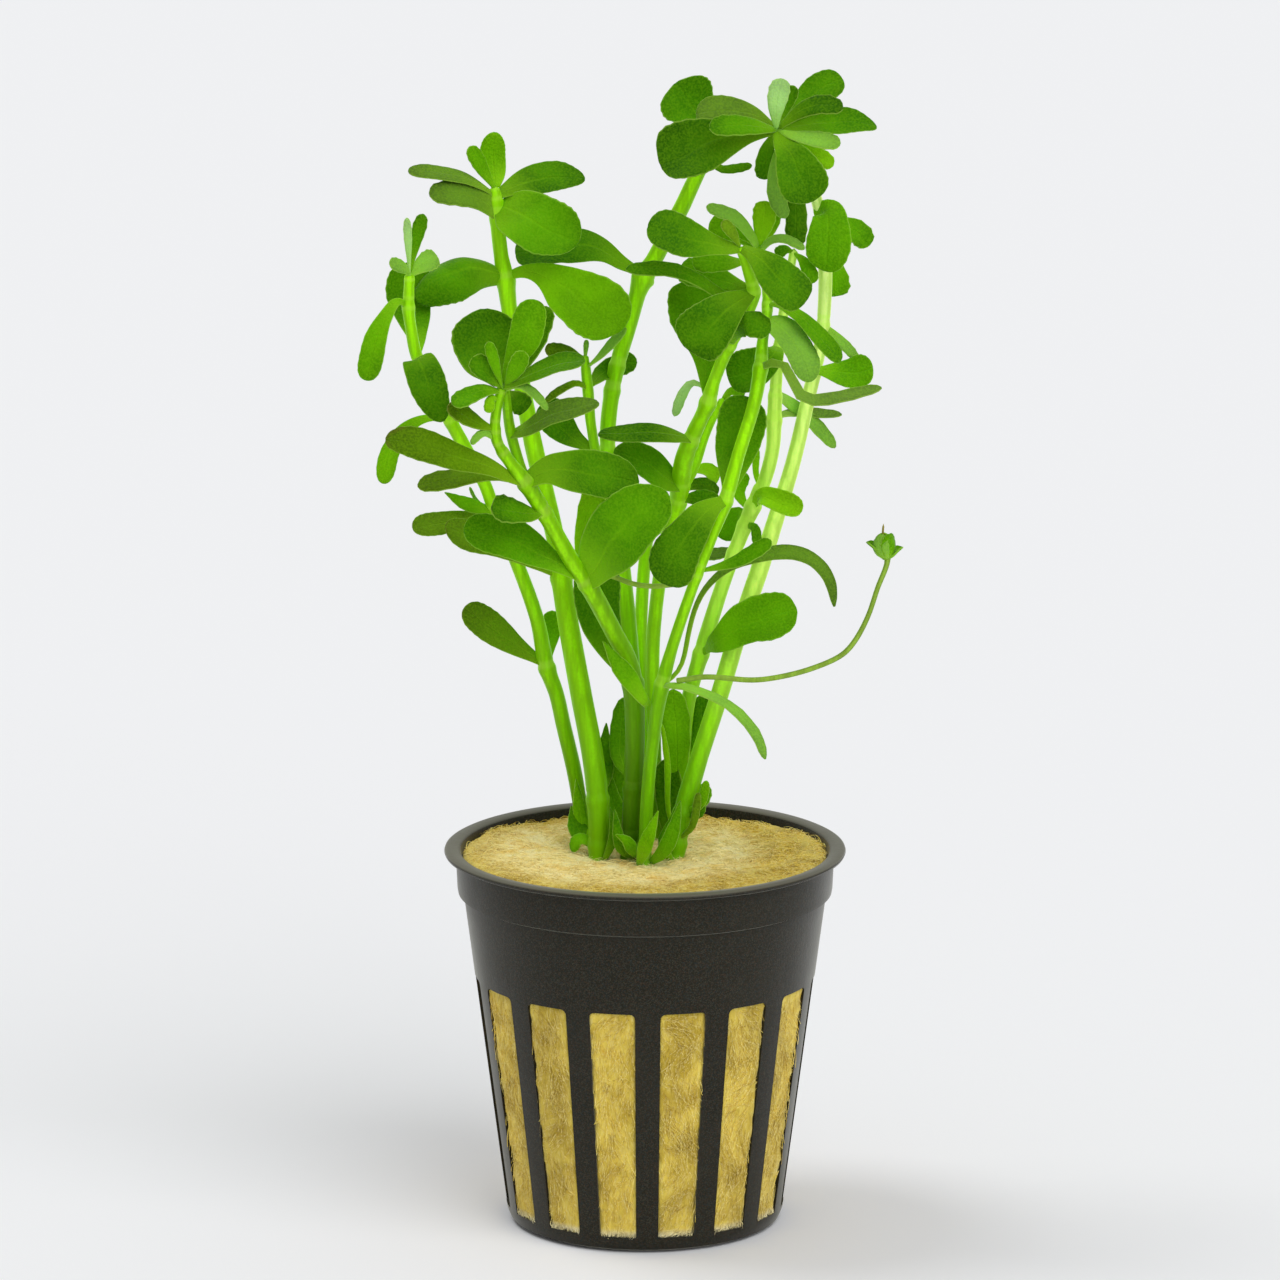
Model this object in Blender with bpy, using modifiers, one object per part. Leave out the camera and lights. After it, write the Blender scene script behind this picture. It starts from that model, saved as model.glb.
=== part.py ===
"""Moneywort in a slotted net pot: pot, rockwool plug, rooted stems and their leaves.

Metres, +Z up. The origin is the centre of the pot's underside, and the plant is looked at along +Y.
The tables are in millimetres. Each row of a stem or a leaf gives where the point shows, across and above
the centre of the rim, to an eye a metre in front of the pot, and how far behind the pot's axis it lies.
"""

import math

import bmesh
import bpy
from mathutils import Matrix, Vector
from mathutils.geometry import intersect_point_line

MM = 0.001
OBJECT_NAME = "potted_moneywort"
GAP = 0.3

# The eye that the tables' across and up refer to, and how many times the tables' depths the stems and the
# leaves, measured from their stem, reach from front to back
RIM_CENTRE = Vector((0.0, 0.0, 49.5))
EYE_DISTANCE = 1000.0
EYE_LEFT = 0.65
EYE_ABOVE = 27.1
EYE_PITCH = math.radians(12.45)
STEM_DEPTH = 2.1
LEAF_DEPTH = 1.3

# Pot
RIM_RADIUS = 26.0
RIM_HEIGHT = 49.5
LIP_THICKNESS = 0.8
COLLAR_RADIUS = 24.3
COLLAR_DEPTH = 5.8
BODY_TOP_RADIUS = 23.35
BODY_BASE_RADIUS = 17.7
BASE_EDGE_RADIUS = 1.6
WALL = 0.75
FLOOR = 1.2
SLOTS = 15
SLOT_BOTTOM = 2.4
SLOT_TOP = 33.1
SLOT_WIDTH_BOTTOM = 4.5
SLOT_WIDTH_TOP = 5.6
SLOT_CORNER = 0.3
FLOOR_SLOTS = 8
FLOOR_SLOT_INNER = 6.5
FLOOR_SLOT_OUTER = 13.0
FLOOR_SLOT_WIDTH = 2.4
POT_STEPS = 45

# Rockwool
WOOL_TOP = 48.3
WOOL_STEPS = 45
WOOL_SAG = 0.35
PAD_RECESS = 0.35
PAD_ROOT = 1.3
SOCKET_GAP = 0.7

# Leaves: half width along the blade as a share of the widest, for the two outlines
BLADE_OUTLINE = (
    (0.0, 0.13), (0.12, 0.17), (0.3, 0.42), (0.5, 0.8), (0.7, 1.0), (0.86, 0.86), (0.95, 0.52), (1.0, 0.1),
)
STRAP_OUTLINE = ((0.0, 0.4), (0.2, 0.72), (0.55, 1.0), (0.85, 0.8), (0.95, 0.5), (1.0, 0.12))
LEAF_THICKNESS = 0.55
LEAF_CUP = 0.14
LEAF_STATIONS = (0.0, 0.3, 0.56, 0.82, 1.0)
SMALL_LEAF_STATIONS = (0.0, 0.62, 1.0)
STEM_POINT_SPACING = 6.4
STALK_POINT_SPACING = 6.0

# Stems: (across, up, back, width), from the foot to the tip
STEMS = {
    "stem_far_left": (
        (-7.4, -9.5, 5.0, 1.9), (-7.6, -1.0, 5.0, 1.9), (-8.2, 4, 4.8, 1.9), (-9.0, 10, 4.5, 1.9),
        (-10.4, 16, 4.2, 1.9), (-11.3, 20, 4.0, 1.9), (-12.6, 23.7, 3.8, 2.1), (-13.9, 30, 3.4, 1.8),
        (-16.9, 38, 2.8, 1.7), (-19.6, 44, 2.3, 1.7), (-20.9, 47.5, 2.0, 1.7), (-23.9, 53, 1.4, 1.8),
        (-26.6, 58, 0.8, 1.6), (-29.6, 63.8, 0.2, 1.6), (-30.5, 68, 0.0, 1.5), (-30.75, 70.3, 0.0, 1.6),
        (-30.6, 74.8, -0.3, 1.2),
    ),
    "stem_left": (
        (-6.0, -10.5, -1.2, 2.7), (-6.0, -1.0, -1.2, 2.7), (-6.1, 5.8, -1.2, 2.9), (-6.85, 12, -0.8, 2.6),
        (-8.4, 20, -0.3, 2.6), (-10.2, 30, 0.6, 2.5), (-10.9, 35.3, 1.2, 2.7), (-11.6, 40, 1.8, 2.4),
        (-12.7, 45, 2.6, 2.4), (-14.4, 52, 3.4, 2.4), (-15.6, 58, 3.9, 2.2), (-16.6, 64, 4.3, 2.2),
        (-17.7, 70.5, 4.6, 2.1), (-18.1, 73.8, 4.7, 2.4), (-18.7, 77, 4.8, 1.9), (-19.2, 81.5, 4.8, 1.9),
        (-19.4, 84.3, 4.8, 1.8), (-19.6, 86.2, 4.8, 1.2),
    ),
    "stem_short": (
        (-3.2, -10.0, 1.9, 1.3), (-3.4, 0, 2.0, 1.3), (-3.6, 6, 2.2, 1.3), (-3.4, 10, 2.4, 1.3),
        (-3.9, 13.4, 2.4, 1.1),
    ),
    "stem_forked": (
        (-1.9, -10.5, -1.6, 2.7), (-1.8, 0, -1.6, 2.7), (-1.5, 8, -2.0, 2.7), (-1.3, 16, -2.6, 2.6),
        (-1.5, 20.8, -3.0, 2.8), (-2.2, 24.5, -3.4, 2.3), (-4.0, 28, -4.2, 2.3), (-7.0, 33.6, -5.4, 2.4),
        (-9.9, 38, -6.5, 2.1), (-13.3, 44, -8.0, 2.0), (-15.5, 47.5, -8.8, 2.2), (-17.4, 50, -9.4, 1.6),
        (-19.0, 52.4, -9.8, 1.4), (-19.5, 54.2, -10.0, 1.4), (-19.3, 57, -10.3, 1.3),
        (-18.5, 60.2, -10.6, 1.2),
    ),
    "stem_long": (
        (-1.1, -9.5, 3.2, 2.4), (-1.2, 0, 3.4, 2.4), (-1.4, 14, 4.0, 2.4), (-2.0, 26, 4.8, 2.4),
        (-3.2, 38, 5.5, 2.3), (-4.6, 48, 6.2, 2.1), (-4.85, 54, 6.6, 2.1), (-4.2, 60, 6.8, 2.1),
        (-3.3, 64, 7.0, 2.1), (-2.1, 68, 7.2, 2.1), (-1.0, 72, 7.3, 2.2), (-0.3, 74, 7.4, 2.9),
        (1.1, 76.4, 7.5, 2.2), (4.8, 83.4, 7.8, 2.1), (6.1, 86.2, 7.9, 2.0), (8.6, 91.3, 8.0, 1.7),
    ),
    "stem_hidden": (
        (0.6, -8.8, 6.4, 1.7), (0.5, 0.5, 6.4, 1.7), (-0.1, 14, 6.8, 1.7), (-0.6, 24, 7.2, 1.7),
        (-0.3, 34, 7.8, 1.7), (0.4, 41, 8.2, 1.6), (1.4, 46.5, 8.4, 1.3),
    ),
    "stem_branching": (
        (1.7, -9.5, 3.3, 1.8), (1.6, 0, 3.4, 1.8), (1.2, 14, 3.6, 1.8), (1.0, 25, 3.4, 1.8),
        (1.5, 32, 2.7, 1.8), (2.6, 39, 1.4, 1.9), (4.3, 45.4, -0.4, 2.4), (5.0, 50.2, -1.8, 2.5),
        (5.8, 52.7, -2.5, 2.2), (7.4, 56.2, -3.3, 1.9), (8.1, 57.7, -3.7, 2.2), (9.0, 60.8, -4.3, 1.6),
        (10.3, 64, -4.8, 1.6), (11.7, 66.6, -5.3, 1.6), (13.1, 69.3, -5.8, 1.6), (14.1, 72.3, -6.3, 1.8),
        (13.3, 75.3, -6.8, 1.3), (12.3, 78.3, -7.2, 1.0),
    ),
    "stem_front": (
        (0.1, -11.0, -2.9, 1.7), (0.0, -1.0, -2.9, 1.7), (0.4, 8, -3.4, 1.7), (1.3, 16, -4.2, 1.7),
        (2.0, 20.3, -4.6, 2.0), (3.5, 26, -5.2, 1.5), (6.2, 34, -6.0, 1.4), (8.9, 41, -6.5, 1.4),
        (10.4, 45.0, -6.6, 1.9), (12.1, 51, -6.4, 1.7), (14.1, 57.5, -5.5, 1.7), (15.0, 62.3, -4.6, 1.9),
        (15.3, 66, -3.7, 1.4), (15.9, 70, -2.5, 1.4), (15.7, 74, -1.4, 1.2), (14.8, 78.5, -0.4, 1.0),
    ),
    "stem_middle_right": (
        (4.3, -9.3, 3.6, 1.9), (4.4, 0, 3.7, 1.9), (4.9, 12, 3.8, 1.9), (5.6, 19, 3.6, 1.9),
        (7.2, 25.0, 3.4, 2.1), (10.0, 34, 3.0, 1.9), (12.2, 40, 2.7, 1.9), (14.0, 44.4, 2.5, 2.1),
        (15.6, 48, 2.3, 1.8), (16.6, 52, 2.1, 1.8), (16.8, 56, 2.0, 2.0), (17.0, 60, 2.0, 1.6),
        (17.5, 66, 2.0, 1.4), (18.7, 74, 2.0, 1.2), (19.4, 78, 2.0, 1.0),
    ),
    "stem_right": (
        (3.8, -10.4, -1.0, 2.6), (3.9, -1.0, -1.0, 2.6), (5.2, 5.5, -0.7, 2.7), (7.1, 12, -0.1, 2.4),
        (9.7, 20, 0.6, 2.4), (12.1, 28, 1.6, 2.4), (15.0, 36.6, 2.9, 2.4), (16.9, 42.5, 3.7, 2.2),
        (19.2, 50, 4.6, 2.0), (21.1, 58, 5.3, 1.9), (22.9, 66, 5.6, 1.7), (23.4, 72, 5.6, 1.8),
        (23.4, 76.5, 5.2, 1.9), (22.9, 81.5, 3.8, 1.6), (22.2, 84.8, 2.6, 1.5), (21.0, 88, 1.0, 1.3),
        (19.3, 91, -0.6, 1.3), (17.2, 93.4, -2.0, 1.2),
    ),
}

# Side shoots grown as one with a stem: (across, up, back, width), starting on its axis
SIDE_SHOOTS = {
    "stem_forked": (
        ((-15.2, 47.0, -8.7, 1.4), (-16.3, 50, -8.3, 1.3), (-17.5, 54.3, -8.5, 1.4),
        (-18.2, 59.8, -10.3, 1.1)),
    ),
    "stem_long": (
        (
            (-4.5, 47.0, 6.1, 1.4), (-6.0, 50, 5.2, 1.3), (-7.0, 55, 4.7, 1.3), (-7.4, 59.4, 4.5, 1.5),
            (-7.7, 62.4, 4.4, 1.3), (-7.8, 64.3, 4.3, 0.8),
        ),
    ),
    "stem_branching": (
        ((4.5, 46.4, -0.6, 1.5), (6.3, 49.3, 0.4, 1.3), (8.0, 54.2, 1.4, 1.2), (10.2, 58.6, 2.0, 0.9)),
    ),
}

# Flower stalks: (across, up, back, width)
FLOWER_STALKS = {
    "flower_stalk": (
        (4.2, 21.8, -6.0, 0.75), (8, 22.3, -6.6, 0.7), (14, 21.9, -7.4, 0.7), (18, 22.4, -7.6, 0.7),
        (22, 23.5, -7.8, 0.7), (25.5, 25.1, -7.9, 0.7), (27.3, 27.0, -8.0, 0.7), (29.0, 30.2, -8.0, 0.65),
        (30.3, 34, -8.0, 0.65), (31.4, 36.8, -8.0, 0.7), (31.6, 38.6, -8.0, 0.9),
    ),
    "bud_stalk": (
        (-5.9, 36.0, -6.2, 0.7), (-4, 35.3, -5.8, 0.65), (-1.5, 34.4, -5.8, 0.65), (1, 34.1, -6.0, 0.65),
        (4.0, 34.3, -6.0, 0.6),
    ),
}
CALYX_CENTRE = (31.4, 39.2, -8.0)
CALYX_RADIUS = 1.15
SEPALS = 5
SEPAL_LENGTH = 2.6
SEPAL_WIDTH = 1.1

# Leaves that are nodes of their own: (name, stem, outline, width seen, roll, (across, up, back) rows of
# the midrib).
# The midrib starts on the stem's axis. Roll is how many degrees the blade turns from facing the eye to
# facing up.
LEAVES = (
    ("leaf_far_left_low", "stem_far_left", "blade", 4.0, 25, ((-12.6, 23.8, 3.8), (-16.5, 26.6, 3),
     (-23.4, 30.1, 1))),
    ("leaf_far_left_brown", "stem_far_left", "blade", 3.3, 30, ((-19.4, 43.5, 2.3), (-25, 42.9, 1.2),
     (-30.3, 42, -0.6))),
    ("leaf_far_left_hanging_low", "stem_far_left", "blade", 2.6, 15,
     ((-25.4, 55.8, 1), (-28.5, 56.3, 0), (-31, 54.9, -1), (-32.8, 52.0, -2), (-33.6, 47.4, -3))),
    ("leaf_far_left_front", "stem_far_left", "blade", 5.2, 10,
     ((-29.2, 62.9, 0.3), (-29.3, 63.7, -2.4), (-28.7, 62.6, -4), (-27.7, 59.6, -5), (-26.3, 55.7, -5.4))),
    ("leaf_far_left_hanging", "stem_far_left", "blade", 3.1, 12,
     ((-30.75, 70.4, 0), (-32.0, 71.3, -1), (-33.2, 70.0, -1.8), (-34.8, 66.5, -2.6), (-35.8, 61.4, -3))),
    ("leaf_far_left_behind", "stem_far_left", "blade", 5.7, 15,
     ((-29.7, 63.9, 0.2), (-30.3, 67.5, 3.8), (-30.9, 72, 5.6), (-31.4, 76.8, 5.6))),
    ("leaf_left_low", "stem_left", "blade", 4.2, 40, ((-10.9, 35.3, 1.2), (-18, 38.2, 0.4),
     (-26.2, 41, -1))),
    ("leaf_left_right_big", "stem_left", "blade", 7.0, 15,
     ((-18.1, 73.9, 4.7), (-15.5, 74.4, 3.8), (-12, 72.8, 2.4), (-8, 70.4, 1.4), (-3.9, 66.8, 1))),
    ("leaf_left_left_big", "stem_left", "blade", 5.2, 25,
     ((-18.1, 74, 4.7), (-22, 74.6, 3.1), (-26, 73.3, 1.7), (-29.6, 71.5, 1.0))),
    ("leaf_left_top_thin", "stem_left", "blade", 2.0, 55,
     ((-19.5, 84.9, 4.8), (-21.3, 86.3, 4), (-23.5, 87.5, 3.4), (-26.8, 88, 2.8), (-30.7, 88.1, 2))),
    ("leaf_left_top_upright", "stem_left", "blade", 3.4, 0, ((-19.5, 85.9, 4.8), (-19.7, 89.5, 5.6),
     (-19.4, 93.3, 5.4))),
    ("leaf_left_top_right", "stem_left", "blade", 4.0, 35,
     ((-19.4, 84.9, 4.8), (-16.5, 86.5, 5.8), (-12.5, 87.6, 6.2), (-7.7, 87.6, 6.2))),
    ("leaf_left_top_round", "stem_left", "blade", 7.4, 15,
     ((-19.3, 83.6, 4.8), (-16.5, 83.0, 3.0), (-12.8, 81.2, 1.6), (-8.7, 79.4, 1))),
    ("leaf_forked_behind", "stem_forked", "blade", 6.2, 5,
     ((-1.7, 21.6, -3), (-4.3, 25.5, -2.4), (-6.2, 31, -2.2), (-6.4, 37.6, -2))),
    ("leaf_forked_low_left", "stem_forked", "blade", 5.6, 30,
     ((-7.6, 34.6, -5.7), (-12.5, 37.4, -7), (-17.2, 39.7, -7.8), (-23.5, 41.1, -8.4))),
    ("leaf_forked_low_right", "stem_forked", "blade", 8.4, 10,
     ((-7.4, 34.9, -5.6), (-5.9, 37.6, -7.8), (-3.2, 41, -9.2), (-0.3, 43.8, -9.6), (3.1, 46.2, -9.6))),
    ("leaf_forked_middle_right", "stem_forked", "blade", 6.3, 15,
     ((-15.3, 47.8, -8.9), (-12.6, 48.9, -8.4), (-7, 48.7, -6.2), (-0.6, 47.4, -4.8))),
    ("leaf_forked_long_brown", "stem_forked", "blade", 4.2, 30,
     ((-15.6, 47.6, -8.9), (-19.5, 49.6, -10.6), (-24, 51.3, -11.6), (-29, 52.8, -12.2),
     (-33.7, 53.8, -12.4))),
    ("leaf_forked_top_round", "stem_forked", "blade", 9.0, 10,
     ((-18.6, 59.9, -10.6), (-19.8, 63, -9), (-20.8, 66.5, -8), (-21.1, 70.3, -7.6))),
    ("leaf_forked_top_light", "stem_forked", "blade", 4.4, 10,
     ((-18.4, 60.0, -10.5), (-16.6, 64, -11.4), (-15.2, 67.5, -11.8), (-14.1, 71.4, -11.4))),
    ("leaf_forked_top_right", "stem_forked", "blade", 2.7, 50,
     ((-18.5, 59.9, -10.6), (-15, 61.4, -12.4), (-11.5, 62.9, -13.2), (-7.6, 63.5, -13.6))),
    ("leaf_forked_side_right", "stem_forked", "blade", 2.8, 45,
     ((-17.4, 53.7, -8.5), (-14.5, 55.0, -10), (-10.5, 56.8, -11.4), (-6.0, 57.7, -12.2))),
    ("leaf_long_left", "stem_long", "blade", 4.8, 35,
     ((-0.6, 74.6, 7.4), (-5, 76.7, 6.6), (-10.5, 77.1, 6.2), (-17.1, 76.2, 6.4))),
    ("leaf_long_top", "stem_long", "blade", 7.2, 10, ((8.6, 91.3, 8), (7.6, 94, 8.8), (6, 96.8, 9),
     (3.5, 100.3, 8.6))),
    ("leaf_long_side", "stem_long", "blade", 4.4, 10, ((-6.5, 51.6, 5), (-9.2, 53.3, 5.8),
     (-11.4, 55.5, 6.4), (-13.4, 58, 6.8))),
    ("leaf_branching_top_left", "stem_branching", "blade", 5.4, 20,
     ((12.5, 77.9, -7.1), (9, 78.6, -8.4), (5, 79.8, -9), (0.2, 81.1, -9.2))),
    ("leaf_branching_top_right", "stem_branching", "blade", 5.5, 15,
     ((12.5, 77.9, -7.1), (14.8, 76.7, -8.8), (17.6, 73.9, -9.8), (20.9, 70.9, -10.2))),
    ("leaf_branching_left", "stem_branching", "blade", 7.2, 20,
     ((14.0, 72.5, -6.3), (11.3, 70.8, -8.2), (8.6, 68.1, -9), (5.5, 64.7, -9.2))),
    ("leaf_branching_dark", "stem_branching", "blade", 7.0, 10,
     ((8.2, 58.0, -3.8), (7.0, 63, -3.2), (6.5, 67.5, -2.4), (5.5, 74.4, -1.5))),
    ("leaf_branching_low_long", "stem_branching", "blade", 2.4, 50,
     ((6.2, 53.4, -2.7), (3, 54.1, -4.6), (0, 54.4, -5.4), (-3, 54.2, -6), (-6.0, 53.9, -6.4))),
    ("leaf_branching_low_left", "stem_branching", "blade", 3.4, 30,
     ((4.7, 47.8, -1.2), (2.2, 48.6, -2), (-0.4, 50.3, -2.6), (-3.9, 51.7, -3))),
    ("leaf_front_arching", "stem_front", "strap", 1.5, 35,
     ((2.6, 21.4, -4.8), (4.5, 23, -4.2), (5.6, 28, -3.9), (6.8, 32, -3.7), (9.6, 35.6, -4),
     (12.5, 37.3, -4.4),
      (16, 38.4, -4.8), (19, 38.7, -5.2), (21.4, 38.1, -5.6), (23.2, 36.7, -6), (24.2, 34.6, -6.2),
      (24.6, 31.4, -6.4))),
    ("leaf_front_low", "stem_front", "blade", 6.2, 15,
     ((10.4, 45.2, -6.6), (8.3, 44.1, -8.6), (5.2, 40.2, -10.2), (2.7, 34.4, -10.8))),
    ("leaf_front_behind", "stem_front", "blade", 6.3, 5,
     ((10.4, 45.2, -6.5), (11.2, 49, -4.2), (12.3, 53.6, -3.2), (13.1, 58.9, -3))),
    ("leaf_front_pale", "stem_front", "blade", 3.9, 25,
     ((15.8, 68.7, -2.8), (17.2, 68, -4.6), (19.2, 65.9, -5.8), (20.6, 63.4, -6.4), (21.3, 60.5, -6.6))),
    ("leaf_front_strap", "stem_front", "blade", 2.5, 40,
     ((15.9, 70.7, -2.3), (17.8, 70.5, -4), (20.3, 68.8, -5.2), (22.7, 66.4, -5.8), (25.2, 63.2, -6.2))),
    ("leaf_middle_right_low", "stem_middle_right", "blade", 5.2, 20,
     ((7.3, 25.4, 3.3), (10.2, 26.6, -0.9), (14, 28.2, -1.8), (19.8, 29.9, -2.2))),
    ("leaf_middle_right_folded", "stem_middle_right", "blade", 3.0, 20,
     ((14.1, 44.7, 2.4), (15.2, 46.2, 0.2), (16.9, 45.7, -0.8), (20.3, 43.9, -1.4))),
    ("leaf_middle_right_behind", "stem_middle_right", "blade", 5.4, 10,
     ((17.2, 65.4, 2), (16.6, 64.2, -0.4), (14.2, 62.4, -1), (10.9, 61.2, -1))),
    ("leaf_right_hanging", "stem_right", "blade", 5.6, 5,
     ((23.1, 80.6, 4.1), (23.3, 83.2, 1.8), (24.0, 82.7, 0), (23.9, 79, -1.2), (23.3, 75.0, -1.6))),
    ("leaf_right_middle", "stem_right", "blade", 4.4, 30,
     ((22.1, 62.4, 5.4), (24.4, 62.1, 4), (27, 61.9, 3.2), (29.7, 62.7, 2.6))),
    ("leaf_top_left_big", "stem_right", "blade", 7.4, 15,
     ((17.3, 93.3, -2), (12.5, 92.8, -3.6), (7, 91.2, -4.4), (1.7, 89.6, -4.6))),
    ("leaf_top_left_upper", "stem_right", "blade", 4.4, 30,
     ((17.2, 93.5, -1.9), (13.5, 95.7, -1.2), (10, 96.2, -1), (6.6, 95.6, -0.8))),
    ("leaf_top_right_upper", "stem_right", "blade", 4.2, 20,
     ((17.3, 93.6, -1.8), (20.4, 96.9, 0.2), (23, 99.1, 1.0), (25.6, 100.5, 1.2))),
    ("leaf_top_right_long", "stem_right", "blade", 3.3, 40,
     ((17.4, 93.4, -1.9), (21.5, 94.5, -0.8), (26, 94.9, -0.4), (30.1, 94.2, -0.2))),
    ("leaf_top_front", "stem_right", "blade", 5.8, 10,
     ((17.3, 93.3, -2.1), (18.5, 90.8, -4.6), (20.1, 87.6, -6), (21.7, 84.1, -6.4))),
)

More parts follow.
